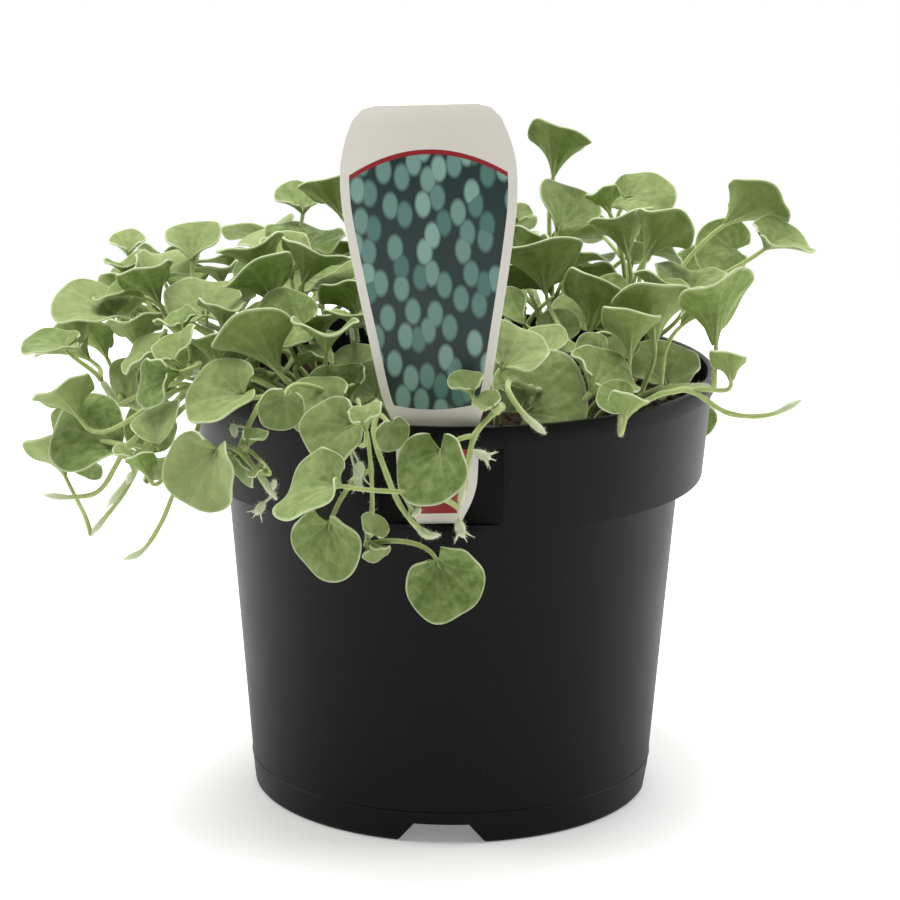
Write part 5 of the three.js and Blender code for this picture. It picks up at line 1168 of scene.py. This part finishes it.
def make_pot(material):
    top = POT_HEIGHT - LIP_HEIGHT
    line = BASE_RADIUS + (BODY_TOP_RADIUS - BASE_RADIUS) * RING_LINE / COLLAR_BOTTOM
    outside = [(BASE_RADIUS - 0.8, 0), (BASE_RADIUS, 0.8), (line, RING_LINE - 0.3), (line + 0.22, RING_LINE),
               (line, RING_LINE + 0.3), (BODY_TOP_RADIUS, COLLAR_BOTTOM),
               (COLLAR_RADIUS, COLLAR_BOTTOM), (RIM_RADIUS - 0.7, top), (RIM_RADIUS, top),
               (RIM_RADIUS, POT_HEIGHT)]
    inside = [(RIM_RADIUS - LIP, POT_HEIGHT), (RIM_RADIUS - LIP - 0.3, top),
              (COLLAR_RADIUS - WALL, COLLAR_BOTTOM + WALL), (BODY_TOP_RADIUS - WALL, COLLAR_BOTTOM + WALL),
              (BASE_RADIUS + 0.5 - WALL, FLOOR_UNDERSIDE + WALL)]
    underside = [(0, 0), (BOSS_RADIUS, 0), (BOSS_RADIUS + 0.4, FLOOR_UNDERSIDE),
                 (BASE_RADIUS - FOOT_WIDTH, FLOOR_UNDERSIDE), (BASE_RADIUS - FOOT_WIDTH, 0)]
    pot = add_object("nursery_pot", lathe("nursery_pot", rounded([*underside, *outside, *inside,
                                                                  (0, FLOOR_UNDERSIDE + WALL)])))
    trapezoid = [(-NOTCH_BOTTOM / 2, -1), (NOTCH_BOTTOM / 2, -1), (NOTCH_TOP / 2, NOTCH_HEIGHT),
                 (-NOTCH_TOP / 2, NOTCH_HEIGHT)]
    notch = prism("notch", trapezoid, -7, 1)
    combine(pot, ring_of(notch, NOTCH_COUNT, BASE_RADIUS, -math.pi / 2, material), "DIFFERENCE")
    drain = lathe("drain", [(0, -4), (DRAIN_RADIUS, -4), (DRAIN_RADIUS, 4), (0, 4)], 24)
    drain.transform(Matrix.Translation((0, 0, FLOOR_UNDERSIDE * MM)))
    combine(pot, ring_of(drain, DRAIN_COUNT, DRAIN_CIRCLE, math.pi / DRAIN_COUNT, material), "DIFFERENCE")
    half = RECESS_WIDTH / 2
    combine(pot, block("recess", (-half, -80, RECESS_FOOT), (half, -60, POT_HEIGHT + 1)), "DIFFERENCE")
    whole = lathe("whole", [(0, 0), *rounded(outside), (0, POT_HEIGHT)])
    foot = RECESS_FOOT - WALL
    inner = WALL - RECESS_FACE
    panel = block("panel", (-half - WALL, -RECESS_FACE, foot), (half + WALL, inner, top + 3))
    parts = add_object("recess_parts", panel)
    combine(parts, block("shelf", (-half, -80, foot), (half, inner, RECESS_FOOT)), "UNION")
    for low, high in ((-half - WALL, -half), (half, half + WALL)):
        combine(parts, block("cheek", (low, -80, foot), (high, inner, top + 3)), "UNION")
    combine(parts, whole, "INTERSECT")
    band = lathe("band", rounded([(STRAP_INNER, POT_HEIGHT - 3), (STRAP_INNER, STRAP_BOTTOM),
                                  (RIM_RADIUS, STRAP_BOTTOM), (RIM_RADIUS, POT_HEIGHT),
                                  (STRAP_INNER, POT_HEIGHT), (STRAP_INNER, POT_HEIGHT - 3)]))
    strap = add_object("strap", band)
    combine(strap, block("strap_part", (-half - 1, -80, 100), (half + 1, -60, POT_HEIGHT + 1)), "INTERSECT")
    combine(parts, strap.data, "UNION")
    bpy.data.objects.remove(strap)
    combine(pot, parts.data, "UNION")
    bpy.data.objects.remove(parts)
    pot.data.materials.clear()
    pot.data.materials.append(material)
    pot.data.polygons.foreach_set("use_smooth", [True] * len(pot.data.polygons))
    pot.data.set_sharp_from_angle(angle=math.radians(32))
    return pot


# Soil

# How far the soil keeps from the pot, and the waves that swell its top: their number, lengths and steepness
SOIL_RINGS, SOIL_SIDES = 60, 120
SOIL_FIT = 0.35
SWELLS = 24
SWELL_LONGEST, SWELL_SHORTEST = 28, 3.2
SWELL_STEEPNESS = 0.022
SOIL_SINK = 0.5


def soil_height(r):
    return SOIL_TOP - SOIL_HUMP * r / (COLLAR_RADIUS - WALL)


def make_soil(material):
    low = FLOOR_UNDERSIDE + WALL + SOIL_FIT
    rim = COLLAR_RADIUS - WALL - SOIL_FIT + 0.9
    sides = [(0, low), (BASE_RADIUS + 0.5 - WALL - SOIL_FIT, low),
             (BODY_TOP_RADIUS - WALL - SOIL_FIT, COLLAR_BOTTOM + 2), (rim - 1, COLLAR_BOTTOM + 2)]
    top = [(r, soil_height(r)) for r in np.linspace(rim, 0, SOIL_RINGS)]
    soil = add_object("potting_mix", lathe("potting_mix", [*sides, *top], SOIL_SIDES))
    random = np.random.default_rng(SEED)
    # Three phases are drawn for each swell and the first is used, so that the waves drawn next stay put
    phases = random.uniform(0, 2 * math.pi, (SWELLS, 3))[:, 0]
    waves = random.normal(size=(SWELLS, 2))
    waves /= np.linalg.norm(waves, axis=1)[:, None]
    lengths = np.geomspace(SWELL_LONGEST, SWELL_SHORTEST, SWELLS)
    for vert in soil.data.vertices:
        x, y, z = (c / MM for c in vert.co)
        if z > SOIL_TOP - SOIL_HUMP - SOIL_SINK:
            swell = sum(lengths[k] * np.sin((waves[k] @ (x, y)) * 2 * math.pi / lengths[k] + phases[k])
                        for k in range(SWELLS))
            vert.co.z = (z + SWELL_STEEPNESS * swell - SOIL_SINK) * MM
    half = RECESS_WIDTH / 2 + WALL + SOIL_FIT
    recess = block("recess", (-half, -80, RECESS_FOOT - WALL - SOIL_FIT),
                   (half, -RECESS_FACE + WALL + SOIL_FIT, 120))
    combine(soil, recess, "DIFFERENCE")
    soil.data.materials.clear()
    soil.data.materials.append(material)
    soil.data.polygons.foreach_set("use_smooth", [True] * len(soil.data.polygons))
    return soil


# Label

# The card's rows of points, how many are smoothed together, the mm kept unsmoothed at its foot and head,
# and the small round along its edge
LABEL_ROWS = 107
SMOOTHED_ROWS = 7
FOOT_KEPT, HEAD_KEPT = 4, 5
EDGE_INSET, EDGE_STEP, EDGE_SHOULDER = 0.22, 0.12, 0.03


def make_label(material):
    """The card in level strips, with a fine round along its edge. Each point keeps its place on the card:
    how far across it is, half the card's width there, and its height."""
    heights, halves = (np.array(side, float) for side in zip(*LABEL_WIDTHS))
    z = np.linspace(heights[0], heights[-1], LABEL_ROWS)
    outline = np.interp(z, heights, halves)
    padded = np.pad(outline, SMOOTHED_ROWS // 2, "edge")
    smooth = np.convolve(padded, np.full(SMOOTHED_ROWS, 1 / SMOOTHED_ROWS), "valid")
    between = (z > heights[0] + FOOT_KEPT) & (z < heights[-1] - HEAD_KEPT)
    half = np.where(between, smooth, outline)
    thick = LABEL_THICK / 2
    made = bmesh.new()
    card = made.verts.layers.float_vector.new("card")
    rows = []
    edge = ((-thick, EDGE_INSET), (-thick + EDGE_STEP, EDGE_SHOULDER), (0, 0),
            (thick - EDGE_STEP, EDGE_SHOULDER), (thick, EDGE_INSET))
    for y, inset in edge:
        for side in (-1, 1):
            row = []
            for height, wide in zip(z, half):
                rise = inset * np.sign(height - z.mean()) if height in (z[0], z[-1]) else 0
                vert = made.verts.new((side * (wide - inset), y, height - rise - POT_HEIGHT))
                vert[card] = (side * (wide - inset), wide, height)
                row.append(vert)
            rows.append(row)
    front, back, left, right = rows[:2], rows[-2:], rows[0::2], rows[1::2]
    for a, b in (front, back, *zip(left, left[1:]), *zip(right, right[1:])):
        for i in range(len(z) - 1):
            made.faces.new((a[i], b[i], b[i + 1], a[i + 1]))
    for end in (0, -1):
        for low, high, low_right, high_right in zip(left, left[1:], right, right[1:]):
            made.faces.new((low[end], high[end], high_right[end], low_right[end]))
    bmesh.ops.recalc_face_normals(made, faces=made.faces)
    mesh = bpy.data.meshes.new("plant_label")
    made.to_mesh(mesh)
    made.free()
    place = Matrix.Translation((LABEL_MIDDLE, LABEL_PLANE, POT_HEIGHT))
    mesh.transform(Matrix.Scale(MM, 4) @ place @ Matrix.Rotation(-math.radians(LABEL_LEAN), 4, "Y"))
    mesh.materials.append(material)
    mesh.polygons.foreach_set("use_smooth", [True] * len(mesh.polygons))
    mesh.set_sharp_from_angle(angle=math.radians(50))
    return add_object("plant_label", mesh)


# Small things strewn over a surface


def strewn_tree(name, shape, selection, lean):
    """Geometry nodes: copies of a small shape strewn over part of a surface and joined to it. Shape and
    selection add their own nodes; lean is how far a copy may tip from the surface's normal."""
    tree = bpy.data.node_groups.new(name, "GeometryNodeTree")
    for label, kind in (("Geometry", "Geometry"), ("Density", "Float"), ("Size", "Float"),
                        ("Seed", "Int"), ("Material", "Material")):
        tree.interface.new_socket(label, in_out="INPUT", socket_type="NodeSocket" + kind)
    tree.interface.new_socket("Geometry", in_out="OUTPUT", socket_type="NodeSocketGeometry")
    given = add(tree, "NodeGroupInput")
    surface, density, size, seed, material, _ = given.outputs
    chosen, thickness = selection(tree)
    crowd = add(tree, "ShaderNodeMath", {0: density, 1: thickness}, operation="MULTIPLY")
    spots = add(tree, "GeometryNodeDistributePointsOnFaces", {"Mesh": surface, "Selection": chosen,
                                                             "Density": crowd, "Seed": seed})
    tip = add(tree, "FunctionNodeRandomValue",
              {0: (-lean, -lean, -lean), 1: (lean, lean, lean), "Seed": seed}, data_type="FLOAT_VECTOR")
    way = add(tree, "ShaderNodeVectorMath", {0: spots.outputs["Normal"], 1: tip}, operation="ADD")
    turn = add(tree, "FunctionNodeAlignRotationToVector", {"Vector": way}, axis="Z")
    scale = add(tree, "FunctionNodeRandomValue", {0: (0.5, 0.5, 0.4), 1: (1.2, 1.2, 1.3), "Seed": seed},
                data_type="FLOAT_VECTOR")
    sized = add(tree, "ShaderNodeVectorMath", {0: scale, "Scale": size}, operation="SCALE")
    copies = add(tree, "GeometryNodeInstanceOnPoints", {"Points": spots, "Instance": shape(tree),
                                                       "Rotation": turn, "Scale": sized})
    real = add(tree, "GeometryNodeRealizeInstances", {0: copies})
    done = add(tree, "GeometryNodeSetMaterial", {"Geometry": real, "Material": material})
    both = add(tree, "GeometryNodeJoinGeometry")
    tree.links.new(done.outputs[0], both.inputs[0])
    tree.links.new(surface, both.inputs[0])
    result = add(tree, "NodeGroupOutput")
    tree.links.new(both.outputs[0], result.inputs[0])
    return tree


def hair_shape(tree):
    return add(tree, "GeometryNodeMeshCone", {"Vertices": 3, "Radius Top": 0.0, "Radius Bottom": 0.03,
                                              "Depth": 1.0}, fill_type="NONE")


def on_stalks(tree):
    """Stems and stalks, thickest at the downy tips."""
    slot = add(tree, "GeometryNodeInputMaterialIndex")
    stalk = add(tree, "FunctionNodeCompare", {2: slot, 3: 1}, data_type="INT", operation="EQUAL")
    kinds = add(tree, "GeometryNodeInputNamedAttribute", {0: "leaf"}, data_type="FLOAT_COLOR")
    downy = add(tree, "FunctionNodeSeparateColor", {0: kinds}).outputs[2]
    return stalk, add(tree, "ShaderNodeMath", {0: downy, 1: 3.0, 2: 0.6}, operation="MULTIPLY_ADD")


def crumb_shape(tree):
    return add(tree, "GeometryNodeMeshIcoSphere", {"Radius": 1.0, "Subdivisions": 1})


def on_top(tree):
    """The surface that looks up, thickest where it is level."""
    normal = add(tree, "GeometryNodeInputNormal")
    rise = add(tree, "ShaderNodeSeparateXYZ", {0: normal}).outputs[2]
    up = add(tree, "FunctionNodeCompare", {0: rise, 1: 0.7}, data_type="FLOAT", operation="GREATER_THAN")
    return up, rise


HAIR_DENSITY, HAIR_LENGTH = 1.3, 0.95
CRUMB_DENSITY, CRUMB_SIZE = 0.09, 0.95
PER_SQUARE_METRE = 1e6
HAIR_LEAN, CRUMB_LEAN = 0.7, 1.5


# The pieces


def rides(piece, slot, *nodes):
    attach(piece, "root")
    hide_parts(*nodes)


LEAF, STALK, HAIR = leaf_material(), stalk_material(), hair_material()
POT, SOIL, LABEL = pot_material(), soil_material(), label_material()
HAIRS = strewn_tree("fine_hairs", hair_shape, on_stalks, HAIR_LEAN)
CRUMBS = strewn_tree("soil_crumbs", crumb_shape, on_top, CRUMB_LEAN)
stems = [*listed_stems(), *rule_stems()]
settle(stems)
STEM_TONE = 0.5
DARKEST_TONE, PALEST_TONE = 0, 0.6
tones = np.random.default_rng(SEED + 2)
for stem in stems:
    gather = Gather()
    add_stem(gather, stem, STEM_TONE)
    for leaf in stem["leaves"]:
        tone = tones.uniform(DARKEST_TONE, PALEST_TONE)
        add_blade(gather, leaf, tone)
        add_stalk(gather, leaf, tone)
    for bearer, *bud in BUDS:
        if bearer == stem["name"]:
            add_bud(gather, stem, *bud)
    name = "leafy_stem_" + stem["name"]
    piece = add_object(name, gather.mesh(name, [LEAF, STALK]))
    run_tree(piece, HAIRS, Density=HAIR_DENSITY * PER_SQUARE_METRE, Size=HAIR_LENGTH * MM, Seed=SEED,
             Material=HAIR)
    rides(piece, "foliage", "stem_" + stem["name"])
rides(make_pot(POT), "pot", "pot")
soil = make_soil(SOIL)
run_tree(soil, CRUMBS, Density=CRUMB_DENSITY * PER_SQUARE_METRE, Size=CRUMB_SIZE * MM, Seed=SEED,
         Material=SOIL)
rides(soil, "soil", "soil")
rides(make_label(LABEL), "label", "label")


# Floor, light and camera

FLOOR_SIZE = 0.7
FLOOR_GLOW = 0.22
floor_mesh = bpy.data.meshes.new("studio_floor")
corners = [(x * FLOOR_SIZE, y * FLOOR_SIZE, 0) for x, y in ((-1, -1), (1, -1), (1, 1), (-1, 1))]
floor_mesh.from_pydata(corners, [], [(0, 1, 2, 3)])
floor = add_object("studio_floor", floor_mesh)
paper, _, paper_shader = new_material("white_paper", Roughness=0.9, Specular_IOR_Level=0.1)
paper_shader.inputs["Base Color"].default_value = hexcolor("#FBFBFA")
paper_shader.inputs["Emission Color"].default_value = hexcolor("#FFFFFF")
paper_shader.inputs["Emission Strength"].default_value = FLOOR_GLOW
floor_mesh.materials.append(paper)

# The camera sees a white backdrop; the room that lights the plant is dimmer
ROOM_LIGHT = 0.2
world = bpy.data.worlds.new("studio")
bpy.context.scene.world = world
world.use_nodes = True
room = world.node_tree.nodes["Background"]
room.inputs["Color"].default_value = hexcolor("#FFFFFF")
room.inputs["Strength"].default_value = ROOM_LIGHT
backdrop = add(world.node_tree, "ShaderNodeBackground", {"Color": hexcolor("#FFFFFF"), "Strength": 1.0})
sees = add(world.node_tree, "ShaderNodeLightPath").outputs["Is Camera Ray"]
both = add(world.node_tree, "ShaderNodeMixShader", {0: sees, 1: room, 2: backdrop})
world.node_tree.links.new(both.outputs[0], world.node_tree.nodes["World Output"].inputs["Surface"])
bpy.context.scene.view_settings.view_transform = "Standard"

# Softboxes: place, size (width, height) and power
AIM = Vector((0, 0, 0.11))
SOFTBOXES = {
    "left": ((-0.8, 0.05, 0.4), (0.4, 0.9), 4.0),
    "right": ((0.8, 0.1, 0.4), (0.4, 0.9), 3.9),
    "top": ((-0.1, 0.0, 1.0), (0.9, 0.7), 10.5),
    "back": ((0.1, 0.9, 0.45), (1.0, 0.7), 6.0),
    "front": ((0.3, -1.1, 0.7), (0.5, 0.5), 0.45),
}
for name, (place, size, power) in SOFTBOXES.items():
    data = bpy.data.lights.new("softbox_" + name, "AREA")
    data.shape, data.size, data.size_y, data.energy = "RECTANGLE", *size, power
    lamp = bpy.data.objects.new("softbox_" + name, data)
    lamp.location = place
    lamp.rotation_euler = (AIM - Vector(place)).to_track_quat("-Z", "Y").to_euler()
    bpy.context.scene.collection.objects.link(lamp)

c, s = math.cos(ROLL), math.sin(ROLL)
axes = np.array([RIGHT * c + UP * s, UP * c - RIGHT * s, BACK]).T
camera_data = bpy.data.cameras.new("camera")
camera_data.sensor_fit, camera_data.sensor_width = "HORIZONTAL", SENSOR
camera_data.lens = VIEW_FOCAL / PICTURE_SIZE * SENSOR
camera_data.clip_start, camera_data.clip_end = 0.05, 30
camera = bpy.data.objects.new("camera", camera_data)
camera.matrix_world = Matrix.Translation(EYE * MM) @ Matrix(axes.tolist()).to_4x4()
bpy.context.scene.collection.objects.link(camera)
bpy.context.scene.camera = camera
